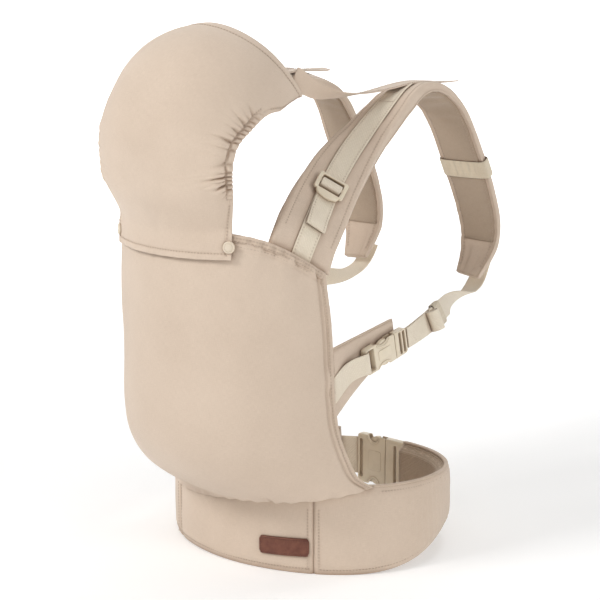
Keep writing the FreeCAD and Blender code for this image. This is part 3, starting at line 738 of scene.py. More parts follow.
def build_bindings():
    """Folded strips that close the panel's edges, with a row of stitches inside each."""
    middle = LAYER + LAYER_GAP / 2
    for name, side in SIDES.items():
        frames, line, ups = [], [], []
        low = hem_line(side)
        for index in range(150):
            height = low + (374 - low) * index / 149
            thin = 0.45 + 0.55 * smooth(0, 35, height - low)
            normal = panel_normal(0.99, height)
            edge = panel_point(1.0, height, middle * thin)
            inward = (panel_point(0.95, height, middle * thin) - edge).normalized()
            ripple = 0.35 * math.sin(height / 2.6) + 0.6 * wobble(edge, 25, 4.0)
            frames.append((edge + inward * 3.6 + normal * ripple * 0.5, -inward, normal))
            line.append(panel_point(1.0, height) + inward * 6.0 + normal * 1.35)
            ups.append(normal)

        def outline(share):
            return oval(8.0, BINDING_THICK * (0.5 + 0.5 * smooth(0, 0.12, share)), BINDING_POWER)
        sweep(frames, outline).make(f"side_binding_{name}", "binding_fabric", side=side,
                                    stands_for=(f"panel_side_binding_{name}",))
        stitches(f"side_binding_stitches_{name}", ROOT, line, ups, side=side, slot="binding_fabric")
    frames, lines, ups = [], ([], [], []), []
    for index in range(260):
        share = 0.99 * (2 * index / 259 - 1)
        height = panel_top(share)
        edge = panel_point(share, height, middle)
        normal = panel_normal(share, height - 4)
        along = (panel_point(share + 0.004, panel_top(share + 0.004), middle)
                 - panel_point(share - 0.004, panel_top(share - 0.004), middle)).normalized()
        down = along.cross(normal).normalized()
        if down.z > 0:
            down = -down
        gather = smooth(0.42, 0.56, abs(share))
        ripple = gather * 1.0 * math.sin(share * 165 / 1.7 + 2.5 * wobble(edge, 30, 1.3))
        frames.append((edge + down * 4.0 + normal * ripple, -down, normal))
        for row, depth in zip(lines, (2.4, 6.4)):
            row.append(edge + down * depth + normal * (middle + 1.45 + ripple))
        below = height - 12.0
        relief = panel_relief(share, below, height)
        lines[2].append(panel_point(share, below) + panel_normal(share, below) * (relief + 0.35))
        ups.append(normal)
    sweep(frames, flat(9.0, BINDING_THICK, BINDING_POWER)).make("top_binding", "binding_fabric",
                                                                stands_for=("panel_top_binding",))
    for number, row in enumerate(lines):
        stitches(f"top_binding_stitches_{number}", ROOT, row, ups, slot="binding_fabric")


build_panel()
build_bindings()

# ======== waist belt
BELT_ACROSS, BELT_DEEP = 185.0, 150.0
BELT_PAD = 15.0
BELT_BOTTOM = spline([0.0, 30.0, 60.0, 85.0, 110.0, 140.0, 180.0], [0.0, 0.0, 0.5, 12.0, 32.0, 27.0, 22.0])
# Degrees from the front and height: the top edge, and how much higher the drawn belt stands.
BELT_TOP = [(0, 98), (100, 98), (180, 86)]
BELT_RAISE = [(0, 2.5), (25, 7.0), (45, 12.0), (65, 9.0), (100, 7.0), (180, 2.5)]
# Degrees from the front: the belt's vertical seams, and the ends of its wings.
BELT_SEAM = 36.0
WING_ENDS = {"left": 168.0, "right": 159.0}


def belt_normal(angle):
    turn = math.radians(angle)
    return Vector((BELT_DEEP * math.sin(turn), -BELT_ACROSS * math.cos(turn), 0)).normalized()


def belt_point(angle, outward, height=0.0):
    """A point at an angle from the front, so far outward of the belt's oval."""
    turn = math.radians(angle)
    point = Vector((BELT_ACROSS * math.sin(turn), -BELT_DEEP * math.cos(turn), height))
    return point + belt_normal(angle) * outward


def belt_taper(share):
    """Outer and inner depth of the belt pad at a share of its half height: it thins to its edges."""
    outer = -2.4 * smooth(0.84, 1.0, share)
    inner = -BELT_PAD + 8.6 * smooth(0.72, 1.0, share)
    return outer, inner


def belt_limits(angle):
    """The middle of the belt's height at an angle, and half of that height."""
    low = BELT_BOTTOM(abs(angle))
    high = table(BELT_TOP, abs(angle)) + table(BELT_RAISE, abs(angle))
    return (low + high) / 2, (high - low) / 2


def belt_pad(start, end, seams):
    """A stretch of the padded belt, crowned, pinched in at its seams."""
    count = int((end - start) / 1.2) + 2
    rises = [-math.cos(math.pi * k / 26) for k in range(27)]
    rows = []
    for index in range(count):
        angle = start + (end - start) * index / (count - 1)
        middle, half = belt_limits(angle)
        distance = min(abs(angle - seam) for seam in seams) * 3.0
        pinch = 1.6 * bell(distance, 0, 2.6)
        outside, inside = [], []
        for v in rises:
            height = middle + half * v
            spot = belt_point(angle, 0, height)
            outer, inner = belt_taper(abs(v))
            soft = 0.9 * wobble(spot, 60, 11.0) + 0.5 * wobble(spot, 24, 2.0)
            crease = 0.6 * math.sin(angle * 1.7 + 4 * wobble(spot, 45, 6.0)) * smooth(60, 95, abs(angle))
            lift = (1.1 * (1 - v * v) + soft + crease) * (1 - abs(v) ** 6)
            groove = 0.8 * bell(half * (1 - abs(v)), 6.0, 1.3)
            outside.append(belt_point(angle, outer + lift - pinch - groove - 0.6, height))
            inside.append(belt_point(angle, inner + 0.3 * pinch, height))
        rows.append(outside + inside[-2:0:-1])
    return Surface().tube(rows, turn=False)


def belt_route(start, end, outward, height, count=120):
    """Points and normals of a line around the belt; height is a function of the angle."""
    angles = [start + (end - start) * i / (count - 1) for i in range(count)]
    return [belt_point(a, outward, height(a)) for a in angles], [belt_normal(a) for a in angles]


def build_belt():
    front = belt_pad(-BELT_SEAM, BELT_SEAM, (-BELT_SEAM, BELT_SEAM))
    pads = [front.make("belt_front_pad", "shell_fabric", stands_for=("belt_front",))]
    for name, side in SIDES.items():
        end = WING_ENDS[name]
        wing = belt_pad(BELT_SEAM + 0.1, end, (BELT_SEAM,))
        pads.append(wing.make(f"belt_wing_pad_{name}", "shell_fabric", side=side,
                              stands_for=(f"belt_wing_{name}",)))
        for number, angle in enumerate((BELT_SEAM - 2.2, BELT_SEAM + 2.2)):
            route = [belt_point(angle, 0.5, 3 + 78 * i / 30) for i in range(31)]
            stitches(f"belt_seam_stitches_{name}_{number}", ROOT, route, [belt_normal(angle)] * 31,
                     side=side)
        route, ups = belt_route(64, end - 2, -1.6, lambda a: sum(belt_limits(a)) - 6.0)
        stitches(f"belt_top_stitches_{name}", ROOT, route, ups, side=side)
        route, ups = belt_route(38, end - 2, -1.6, lambda a: BELT_BOTTOM(abs(a)) + 6.0)
        stitches(f"belt_bottom_stitches_{name}", ROOT, route, ups, side=side)
        places, ups = belt_route(52, end, -4.6, lambda a: sum(belt_limits(a)) + 0.3, 140)
        rim = [(place, up, Vector((0, 0, 1))) for place, up in zip(places, ups)]
        sweep(rim, flat(5.6, 2.6, 2.6)).make(f"belt_rim_{name}", "binding_fabric", side=side)
    route, ups = belt_route(-35, 35, -1.6, lambda a: 6.0)
    stitches("belt_front_stitches", ROOT, route, ups)
    build_belt_lining()


LINING_RIBS = 33


def build_belt_lining():
    """The ribbed inner face of the belt."""
    start, end = 1.0 - WING_ENDS["right"], WING_ENDS["left"] - 1.0

    def face(ribbed):
        def point(across, up):
            v = 2 * up - 1
            angle = start + (end - start) * across
            middle, half = belt_limits(angle)
            depth = belt_taper(abs(v))[1] - 0.5
            if ribbed:
                ridge = abs(math.sin(math.pi * LINING_RIBS * up)) ** 0.7
                ripple = 0.35 * math.sin(angle * 2.2 + 2 * noise.noise(Vector((angle / 5, v * 3, 2))))
                depth -= 0.9 + 0.9 * ridge + ripple
            return belt_point(angle, depth, middle + (half - 1.5) * v)
        return lattice(170, 165, point)
    lining = shell(face(False), face(True)).make("belt_ribbed_lining", "lining_fabric",
                                                 stands_for=("belt_lining",))


# The leather patch: its middle and half size in degrees round the belt and in millimetres up it.
LABEL_ANGLE, LABEL_HALF_ANGLE = 24.35, 10.05
LABEL_HEIGHT, LABEL_HALF_HEIGHT = 32.15, 11.05
LABEL_TILT = 0.10
LABEL_STITCH_ACROSS, LABEL_STITCH_UP = 0.93, 0.80


def label_point(u, v, outward):
    """A point on the patch; u and v run from -1 to 1 across it and up it."""
    angle = LABEL_ANGLE + LABEL_HALF_ANGLE * u
    return belt_point(angle, outward, LABEL_HEIGHT + LABEL_HALF_HEIGHT * v + LABEL_TILT * (angle - 24))


def build_label():
    """The leather patch: a bent plate with rounded corners, and its stitches."""
    def face(outer):
        def point(across, up):
            u, v = 2 * across - 1, 2 * up - 1
            edge = max(abs(u) * 28.5 - 26.9, abs(v) * 9.8 - 8.2, 0.0)
            corner = max(0.0, abs(u) * 28.5 - 25.5) * max(0.0, abs(v) * 9.8 - 6.8)
            inset = 1 - 0.018 * corner ** 0.5
            return label_point(u * inset, v * inset, 2.35 - 0.8 * smooth(0, 1.6, edge) if outer else 0.1)
        return lattice(41, 17, point)
    shell(face(True), face(False)).make("leather_patch", "leather", stands_for=("label_patch",))
    route, ups = [], []
    for u0, v0, u1, v1 in ((-1, -1, 1, -1), (1, -1, 1, 1), (1, 1, -1, 1), (-1, 1, -1, -1)):
        for i in range(20):
            u = (u0 + (u1 - u0) * i / 20) * LABEL_STITCH_ACROSS
            v = (v0 + (v1 - v0) * i / 20) * LABEL_STITCH_UP
            route.append(label_point(u, v, 2.3))
            ups.append(belt_normal(LABEL_ANGLE + LABEL_HALF_ANGLE * u))
    stitches("patch_stitches", ROOT, route, ups, "dark_thread", "leather", 1.6, 0.9, 0.28)


build_belt()
build_label()

# ======== hood
# Each row is one arch of the hood: side edge (across, depth, height), top (depth, height), half width.
HOOD = [
    (88, -237, 394, -264.5, 393, 88.8), (88, -236, 412, -264.5, 412, 89),
    (88, -235, 430.4, -267.5, 430.4, 91.5), (86, -231, 463, -281, 462, 96.5),
    (84, -228, 490, -289, 492, 99), (81, -217, 513, -296, 530, 103),
    (79, -201, 527, -291, 568, 104), (78, -175, 541, -268, 608, 103),
    (79, -152, 553, -238, 632, 99), (80, -130, 560, -205, 643, 92),
    (80, -111, 564, -172, 646, 84),
]
HOOD_CURL = 18.0
HOOD_THICK = 1.9
HOOD_KEYS = [float(i) for i in range(len(HOOD))]
hood_edge = spline(HOOD_KEYS, [Vector(row[:3]) for row in HOOD])
hood_top = spline(HOOD_KEYS, [Vector((0, row[3], row[4])) for row in HOOD])
hood_half = spline(HOOD_KEYS, [float(row[5]) for row in HOOD])
# The gathered stretch of the elastic edge, in keys, and the length of one puff.
GATHER_START, GATHER_END = 3.1, 7.1
PUFF = 6.2
# The angle at which each arch ends, in degrees from its top.
HOOD_REACH = spline([0.0, 3.0, 4.0, 5.0, 6.0, 7.0, 8.0, 9.0, 10.0],
                    [86.0, 85.0, 81.0, 78.0, 82.0, 85.0, 97.0, 106.0, 106.0])


def hood_point(share, key):
    """A point on the hood; share -1..1 across an arch, key 0..10 from the hem to the rim."""
    edge, top, half = hood_edge(key), hood_top(key), hood_half(key)
    foot = Vector((0, edge.y, edge.z))
    rise = (top - foot).length
    upward = (top - foot).normalized()
    domed = smooth(1.6, 3.4, key)
    radius = (edge.x ** 2 + rise ** 2) / (2 * rise)
    bend = math.atan2(edge.x, radius - rise) * share
    point = foot + upward * (rise - radius + radius * math.cos(bend))
    point += Vector((radius * math.sin(bend), 0, 0))
    if domed > 0:
        curl = HOOD_CURL * math.cos(math.asin(min(1.0, edge.x / half)))
        angle = math.radians(HOOD_REACH(key)) * share
        span = rise - curl if math.cos(angle) > 0 else HOOD_CURL
        dome = foot + upward * (curl + span * math.cos(angle)) + Vector((half * math.sin(angle), 0, 0))
        point = point.lerp(dome, domed)
    return point


def hood_normal(share, key):
    wide = hood_point(min(1, share + 0.01), key) - hood_point(max(-1, share - 0.01), key)
    tall = hood_point(share, min(10, key + 0.03)) - hood_point(share, max(0, key - 0.03))
    return wide.cross(tall).normalized()


EDGE_STEPS = 400
edge_lengths = along_keys([hood_edge(10 * step / EDGE_STEPS) for step in range(EDGE_STEPS + 1)])


def edge_length(key):
    """Distance along the hood's side edge from the hem."""
    place = key / 10 * EDGE_STEPS
    step = min(EDGE_STEPS - 1, int(place))
    return edge_lengths[step] + (edge_lengths[step + 1] - edge_lengths[step]) * (place - step)


def arch_length(key):
    """Half the length of the arch at a key."""
    return along_keys([hood_point(i / 24, key) for i in range(25)])[-1]


def puffs(phase):
    """Rounded tops between sharp valleys, from -0.65 to 0.35."""
    return abs(math.sin(phase)) ** 0.5 - 0.65


def hood_relief(share, key, point, half_arch):
    """Gathers of the elastic edge, the folds that run from them, and hems. Millimetres outward."""
    across = (1 - abs(share)) * half_arch
    length = edge_length(key)
    side = 1.0 if share > 0 else -1.0
    start = smooth(GATHER_START - 0.1, GATHER_START + 0.35, key)
    zone = start * (1 - smooth(GATHER_END - 0.8, GATHER_END + 0.1, key))
    out = 1.5 * wobble(point, 70, 5.5) + 0.6 * wobble(point, 30, 8.5)
    if zone > 0 and across < 90:
        drift = noise.noise(Vector((length / 23, 4.0 + side, 0.5)))
        phase = math.pi * (length / PUFF + 1.3 * drift)
        leaning = math.pi * ((length - 0.30 * (across - 12) * (length - 118) / 30) / PUFF + 1.3 * drift)
        reach = 8 + 24 * abs(noise.noise(Vector((length / 9, 2.0 + side, 7.0)))) ** 0.8
        merged = puffs(leaning / 2 + 0.6 * noise.noise(Vector((length / 14, across / 20, 3 + side))))
        channel = 1 - smooth(9.5, 12.5, across)
        bulge = math.sin(math.pi * min(1.0, across / 12.5)) ** 0.7
        out += zone * channel * (4.4 * puffs(phase) * (0.5 + 0.5 * bulge) + 1.6 * bulge)
        groove = bell(across, 12.6, 1.3)
        beyond = smooth(11.5, 15.0, across)
        fade = math.exp(-max(0.0, across - 12) / reach) * (1.0 if side > 0 else 0.6)
        out += zone * (beyond * fade * (3.6 * puffs(leaning) + 6.0 * merged) - 0.4 * groove)
        out += zone * beyond * 2.4 * bell(across, 24, 14.0)
    rim = (10 - key) * 29.0
    out += 0.5 * (1 - smooth(10.5, 12.0, rim)) - 0.7 * bell(rim, 12.5, 1.3)
    hem = key * 18.0
    out += 0.3 * (1 - smooth(6.0, 7.0, hem)) - 0.35 * bell(hem, 7.2, 1.2)
    turned_edge = 0.3 * (1 - smooth(6.0, 7.0, across)) - 0.4 * bell(across, 7.2, 1.2)
    out += (1 - zone) * turned_edge
    out += 0.6 * math.sin(point.x / 3.4 + 2 * wobble(point, 30, 1.0)) * math.exp(-hem / 7.0)
    out -= 1.3 * bell(point.z, 428, 7.0) * smooth(0.3, 0.95, abs(share))
    return out


def hood_surface(share, key, half_arch=None):
    """The finished outer face: a point and its normal."""
    half_arch = half_arch or arch_length(key)
    point, normal = hood_point(share, key), hood_normal(share, key)
    return point + normal * (hood_relief(share, key, point, half_arch) + 0.9), normal


def spread(stops):
    """Values through (value, count) stops, evenly spaced within each stretch."""
    values = [stops[0][0]]
    for (before, ignored), (after, count) in zip(stops, stops[1:]):
        values += [before + (after - before) * (k + 1) / count for k in range(count)]
    return values


def build_hood():
    keys = spread([(0, 0), (0.9, 16), (2.8, 26), (7.3, 230), (9.2, 24), (10, 14)])
    depths = spread([(0, 0), (16, 15), (48, 20), (90, 14)])
    outer, inner = [], []
    for key in keys:
        half_arch = arch_length(key)
        far = [90 + (half_arch - 90) * (k + 1) / 22 for k in range(22)]
        left = [-1 + depth / half_arch for depth in depths + far]
        shares = left + [-share for share in left[-2::-1]]
        found = [hood_surface(share, key, half_arch) for share in shares]
        outer.append([point for point, normal in found])
        inner.append([point - normal * HOOD_THICK for point, normal in found])
    hood = shell(outer, inner).make(
        "hood_cloth", "shell_fabric", None,
        stands_for=("hood", "hood_skirt", "hood_elastic_left", "hood_elastic_right"))
    return hood


hood = build_hood()


def hood_line(name, places, side=1.0):
    """Stitches that follow (share, key) places on the hood."""
    found = [hood_surface(share, key) for share, key in places]
    return stitches(name, None, [p + n * 0.1 for p, n in found], [n for p, n in found], side=side)


def build_hood_stitches():
    rows = [hood_line("hood_hem_stitches", [(0.97 * (2 * i / 120 - 1), 0.37) for i in range(121)]),
            hood_line("hood_rim_stitches", [(0.96 * (2 * i / 140 - 1), 9.6) for i in range(141)])]

    def between(first, last, steps, count):
        """Places between two (setback from the edge, key) pairs."""
        places = []
        for index in range(count):
            setback = first[0] + (last[0] - first[0]) * index / steps
            key = first[1] + (last[1] - first[1]) * index / steps
            places.append((1 - setback / arch_length(key), key))
        return places
    for name, side in SIDES.items():
        for label, first, last in (("low", (6.0, 0.15), (6.0, 2.9)), ("high", (6.0, 7.2), (6.0, 9.7)),
                                   ("channel", (12.6, 3.15), (12.6, 7.05))):
            rows.append(hood_line(f"hood_{label}_stitches_{name}", between(first, last, 89, 90), side))
        corners = [(0.8, 3.05), (12.6, 3.05), (12.6, 3.6), (0.8, 3.6)]
        box = [place for pair in zip(corners, corners[1:]) for place in between(*pair, 12, 12)]
        rows.append(hood_line(f"hood_box_stitches_{name}", box, side))
    return rows


hood_seams = build_hood_stitches()


# ======== shoulder straps and their webbing
# The strap's middle line from the panel's top to its lower end, and the way its width lies there.
STRAP_PATH = [(131, -167.5, 404.5), (107.5, -67, 484), (102, 17, 536), (93, 78, 556),
              (91, 132, 537), (93, 176, 474), (94, 211, 402), (95, 219, 348), (92, 199, 309)]
STRAP_SIDES = [(0.43, 0.70, -0.57), (0.55, 0.83, 0.06), (0.75, 0.60, 0.25), (0.95, 0.25, 0.18),
               (1, 0.08, 0.10), (1, 0.0, 0.10), (0.99, -0.02, 0.10), (0.99, -0.02, 0.08), (1, 0.05, 0)]
# Share of the strap's length, and its width or depth there. The sewn root starts at -0.05.
STRAP_WIDTHS = [(-0.05, 82), (0.0, 79), (0.1, 75), (0.2, 67), (0.3, 55), (0.45, 56), (0.6, 60), (0.75, 65),
                (0.86, 63), (0.93, 56), (1.0, 36)]
STRAP_DEPTHS = [(-0.05, 3.0), (-0.01, 8.0), (0.04, 14.0), (0.42, 14.0), (0.56, 10.5), (0.9, 8.5), (1.0, 6.0)]
STRAP_THICK = 14.0
STRAP_STEPS = 240
strap_frames = ribbon_frames(STRAP_PATH, STRAP_SIDES, STRAP_STEPS + 1)
WEBBING, WAIST_WEB = 25.0, 50.0
WEB_THICK = 1.8
# Where the ladder lock and the keeper sit, as shares of the strap's length.
LADDER_SHARE = 8 / 60
KEEPER_SHARE = 45 / 60
KNEE = 18


def rooted_frames():
    """The strap's frames with its sewn root, which comes up from behind the panel's top edge."""
    root = Vector((128.0, -172.5, 384.0))
    places = [root] + [strap_frames[i][0] for i in (5, KNEE, 2 * KNEE)]
    sides = [Vector((0.42, 0.73, -0.53))] + [strap_frames[i][1] for i in (5, KNEE, 2 * KNEE)]
    keys = along_keys(places)
    lead = ribbon_frames(places, sides, 49)
    stop = round(48 * keys[2] / keys[3])
    frames = lead[:stop] + strap_frames[KNEE:]
    shares = [-0.05 + (KNEE / STRAP_STEPS + 0.05) * i / stop for i in range(stop)]
    return frames, shares + [i / STRAP_STEPS for i in range(KNEE, STRAP_STEPS + 1)]


pad_frames, pad_shares = rooted_frames()


def pad_face(share, u, place, across, face):
    """How far the strap's face stands from its middle at u, -1..1 across."""
    half_depth = table(STRAP_DEPTHS, share) / 2
    spot = place + across * (30 * u)
    lift = 1.3 * (1 - u * u) + 0.7 * wobble(spot, 34, 3.0) + 0.35 * wobble(spot, 14, 9.0)
    curve = bell(share, 0.52, 0.10)
    if face < 0:
        lift += 0.9 * curve * math.sin(share * 190 + 4 * wobble(spot, 40, 5.0)) * (1 - u ** 4)
        lift += 0.9 * smooth(0.78, 0.9, share) * math.sin(share * 240 + u * 3) * abs(u) * (1 - u ** 6)
        lift += 1.5 * smooth(0.917, 0.921, share)
        for dart in (-0.45, 0.35):
            lift -= 1.8 * smooth(0.925, 0.95, share) * bell(u, dart * (1.9 - share), 0.07)
        lift -= 1.3 * bell(abs(u), 0.86, 0.05)
    return half_depth + lift * min(1.0, half_depth / 5)


def pad_points(u, face, extra, start=-1.0, end=2.0, edge=None):
    """Points along a face of the strap between two shares of its length, and their normals.

    An edge of -1 or 1 puts them at the strap's edge, at the height of the face at u."""
    points, ups = [], []
    for (place, across, outward), share in zip(pad_frames, pad_shares):
        if start < share < end:
            half = table(STRAP_WIDTHS, share) / 2 - 1.0
            reach = half * u if edge is None else (half - 0.6) * edge
            up = outward * face
            points.append(place + across * reach + up * (pad_face(share, u, place, across, face) + extra))
            ups.append(up)
    return points, ups


def strap_rows():
    """The closed sections of the padded strap, from its sewn root to its lower end."""
    across_steps = [-math.cos(math.pi * k / 22) for k in range(23)]
    rows = []
    for (place, across, outward), share in zip(pad_frames, pad_shares):
        half = table(STRAP_WIDTHS, share) / 2 - 1.0
        half_depth = table(STRAP_DEPTHS, share) / 2
        row = []
        for face, order in ((1, across_steps), (-1, across_steps[::-1])):
            for u in order:
                corner = max(0.0, abs(u) - 0.93) / 0.07
                height = pad_face(share, u, place, across, face) - 0.35 * half_depth * corner ** 2
                row.append(place + across * half * u + outward * face * height)
        rows.append(row)
    return rows


def build_straps():
    rows = strap_rows()
    lining_faces = []
    for extra in (0.7, -0.4):
        columns = [pad_points(0.84 * (k / 12 - 1), -1, extra, 0.02, 0.925)[0] for k in range(25)]
        lining_faces.append([list(row) for row in zip(*columns)])
    for name, side in SIDES.items():
        item = Surface().tube(rows).make(f"shoulder_strap_pad_{name}", "shell_fabric", side=side,
                                         stands_for=(f"shoulder_strap_{name}",))
        lining = shell(*lining_faces).make(f"strap_lining_{name}", "lining_fabric", side=side,
                                           material="strap_lining")
        for tag, edge in (("inner", -1), ("outer", 1)):
            rail = pad_points(0.93 * edge, -1, -1.2, edge=edge)[0]
            frames = [(place, across, outward) for place, (ignored, across, outward) in zip(rail, pad_frames)]
            sweep(frames, flat(2.6, 2.6, 2.2, 5)).make(f"strap_piping_{tag}_{name}", "binding_fabric",
                                                       side=side)
            route, ups = pad_points(0.80 * edge, 1, 0.0, 0.01, 0.985)
            stitches(f"strap_stitches_{tag}_{name}", ROOT, route, ups, side=side)
            route, ups = pad_points(0.78 * edge, -1, 0.7, 0.01, 0.985)
            stitches(f"strap_under_stitches_{tag}_{name}", ROOT, route, ups, side=side)


def webbing(name, frames, body, side, stands_for=(), width=WEBBING, thick=WEB_THICK):
    return sweep(frames, flat(width, thick)).make(name, "webbing", body, side, stands_for)


def edge_stitches(name, frames, body, side, width=WEBBING):
    """A row of stitches 2.6 mm in from each edge of the webbing."""
    for label, edge in (("b", -1), ("a", 1)):
        route = [p + a * edge * (width / 2 - 2.6) + o * WEB_THICK / 2 for p, a, o in frames]
        stitches(f"{name}_{label}", body, route, [o for p, a, o in frames], "web_thread", "webbing",
                 side=side)


def cross_stitch(name, start, end, side, width=WEBBING):
    """The sewn box with its cross where webbing is fastened down."""
    half, lift = width / 2 - 3, WEB_THICK / 2 + 0.1
    corners = [p + a * half * edge + o * lift for (p, a, o), edge in ((start, -1), (start, 1), (end, 1),
                                                                      (end, -1))]
    path = [corners[i] for i in (0, 1, 2, 3, 0, 2, 3, 1)]
    route = []
    for before, after in zip(path, path[1:]):
        route += [before + (after - before) * k / 8 for k in range(8)]
    stitches(name, ROOT, route, [start[2]] * len(route), "web_thread", "webbing", 2.2, 1.0, side=side)


def on_strap(start, end, height):
    """Frames on the strap's outer face between two shares of its length."""
    frames = []
    for (place, across, outward), share in zip(pad_frames, pad_shares):
        if start <= share <= end:
            lift = table(STRAP_DEPTHS, share) / 2 + 1.4 * min(1.0, table(STRAP_DEPTHS, share) / 10)
            frames.append((place + outward * (lift + height), across, outward))
    return frames


def build_strap_webbing():
    first = 0.2 + WEB_THICK / 2
    for name, side in SIDES.items():
        lower = on_strap(-0.05, LADDER_SHARE + 0.01, first)
        webbing(f"adjust_strap_{name}", lower, ROOT, side, (f"adjust_webbing_{name}",))
        edge_stitches(f"adjust_strap_stitches_{name}", lower[4:], ROOT, side)
        tail = on_strap(0.03, LADDER_SHARE, first + WEB_THICK + 0.5)
        count = len(tail)
        tail = [(p + o * 3.0 * (1 - smooth(0, 0.35, i / count)) + a * 1.6 * (1 - i / count), a, o)
                for i, (p, a, o) in enumerate(tail)]
        webbing(f"adjust_tail_{name}", tail, ROOT, side, (f"webbing_tail_{name}",))
        edge_stitches(f"adjust_tail_stitches_{name}", tail, ROOT, side)
        upper = on_strap(LADDER_SHARE + 0.02, 0.46, first)
        webbing(f"strap_webbing_{name}", upper, ROOT, side, (f"shoulder_webbing_{name}",))
        edge_stitches(f"strap_webbing_stitches_{name}", upper, ROOT, side)
        cross_stitch(f"strap_webbing_box_{name}", upper[-18], upper[-3], side)


build_straps()
build_strap_webbing()


# ======== ladder locks
LADDER_HALF = 18.5
SLOT_HALF = WEBBING / 2 + 0.8


# The lock's middle stands over the strap, its crown and two layers of webbing.
LADDER_LIFT = STRAP_THICK / 2 + 7.8
LADDER_THREADING = [(-3.6, -3.0), (-3.0, 0.2), (-1.6, 2.6), (0.4, 3.6), (2.2, 3.8), (4.0, 3.5), (6.2, 2.3),
                    (7.6, 0.0), (8.2, -3.0)]


def build_ladders():
    place, across, outward = strap_frames[round(LADDER_SHARE * STRAP_STEPS)]
    along = outward.cross(across)
    base = place + outward * LADDER_LIFT
    outline = rounded(-9.5, 14.5, -LADDER_HALF, LADDER_HALF, 3.0)
    lip = [(-9.5 - 7.5 * math.sin(math.pi * k / 16), LADDER_HALF * 0.78 * math.cos(math.pi * k / 16))
           for k in range(17)]
    corner = len(outline) // 2
    outline = outline[:corner] + lip + outline[corner:]
    holes = [rounded(start, start + 7.0, -SLOT_HALF, SLOT_HALF, 1.4) for start in (4.0, -7.0)]
    points = [base + along * x + outward * z for x, z in LADDER_THREADING]
    threaded = ribbon_frames(points, [across] * len(points), 40)
    for name, side in SIDES.items():
        body = f"ladder_lock_{name}"
        plate(f"ladder_frame_{name}", outline, holes, 4.4, 1.1, placement(base, along, outward, side),
              body, (body,))
        webbing(f"ladder_loop_{name}", threaded, body, side)


build_ladders()


# ======== elastic keepers
BAND_STEPS = 14


def band(name, frame, width, depth, length, thick, body, side, stands_for):
    """A loop of elastic around a strap, ribbed along its length."""
    place, across, outward = frame
    along, across = outward.cross(across), -across
    section = []
    for k in range(BAND_STEPS + 1):
        share = k / BAND_STEPS
        ridge = 0.10 * math.cos(share * math.pi * 2 * 5)
        section.append(((share - 0.5) * length, thick + ridge if 0 < k < BAND_STEPS else thick * 0.55))
    section += [(x, 0.0) for x, lift in reversed(section)]
    surface = Surface()
    loop = oval(width, depth, 5.0, BAND_STEPS)
    for x, lift in section:
        for a, o in loop:
            spoke = Vector((a, o)).normalized() * lift
            surface.points.append(place + along * x + across * (a + spoke.x) + outward * (o + spoke.y))
    wide, count = len(loop), len(section)
    steps = [(0, 0), (1, 0), (1, 1), (0, 1)]
    for j in range(count):
        for i in range(wide):
            face = [(j + up) % count * wide + (i + right) % wide for right, up in steps]
            surface.add(face, [((i + right) * 2.5 * MM, (j + up) * 1.6 * MM) for right, up in steps])
    return surface.make(name, "elastic", body, side, stands_for, levels=1)


KEEPER_DEEP = 15.0


def build_keepers():
    frame = strap_frames[round(KEEPER_SHARE * STRAP_STEPS)]
    width = table(STRAP_WIDTHS, KEEPER_SHARE) + 2.0
    for name, side in SIDES.items():
        body = f"strap_keeper_{name}"
        band(f"keeper_band_{name}", frame, width, KEEPER_DEEP, 25.0, 1.2, body, side, (body,))


build_keepers()

# ======== side wings, side webbing and buckles
SLOPE = math.radians(12.0)
side_along = Vector((0, math.cos(SLOPE), math.sin(SLOPE)))
side_across = Vector((0, -math.sin(SLOPE), math.cos(SLOPE)))
SIDE_MOUTH = Vector((156.0, -34.0, 270.0))
OUT = Vector((1, 0, 0))


# The wing's lower and upper corner at the panel, and at its tip.
WING_ROOT = (Vector((145, -131, 197)), Vector((145, -135, 281)))
WING_TIP = (Vector((145, -17, 262)), Vector((145, -24, 298)))


def wing_edges(u):
    """The wing's lower and upper edge at a share u of its length."""
    low, high = [root + (tip - root) * u for root, tip in zip(WING_ROOT, WING_TIP)]
    return low + Vector((0, 0, 7 * math.sin(math.pi * u))), high


def build_wings():
    """Padded triangles that reach back from the panel's sides, with piping round them."""
    path = [wing_edges(i / 29)[0] for i in range(30)]
    path += [WING_TIP[0] + (WING_TIP[1] - WING_TIP[0]) * i / 8 for i in range(1, 8)]
    path += [wing_edges(1 - i / 29)[1] for i in range(30)]
    rail = []
    for index, point in enumerate(path):
        along = (path[min(len(path) - 1, index + 1)] - path[max(0, index - 1)]).normalized()
        rail.append((point, OUT, OUT.cross(along)))
    for name, side in SIDES.items():
        def face(sign):
            def point(u, v):
                low, high = wing_edges(u)
                spot = low + (high - low) * v
                rim = min(1.0, min(v, 1 - v) * (high - low).length / 7, (1 - u) * 115 / 7)
                crown = 1.0 + 3.6 * (1 - (1 - rim) ** 2) ** 0.5
                fold = 0.9 * wobble(spot, 22, 4 + side) + 0.6 * math.sin(spot.z / 4 + u * 5) * (1 - u)
                return spot + OUT * sign * (crown + fold * (rim ** 2) * 0.8)
            return lattice(46, 40, point)
        item = shell(face(-1), face(1)).make(f"side_wing_pad_{name}", "shell_fabric", side=side,
                                             stands_for=(f"side_wing_{name}",))
        sweep(rail, flat(3.2, 3.2, 2.2, 5)).make(f"side_wing_piping_{name}", "binding_fabric", side=side)


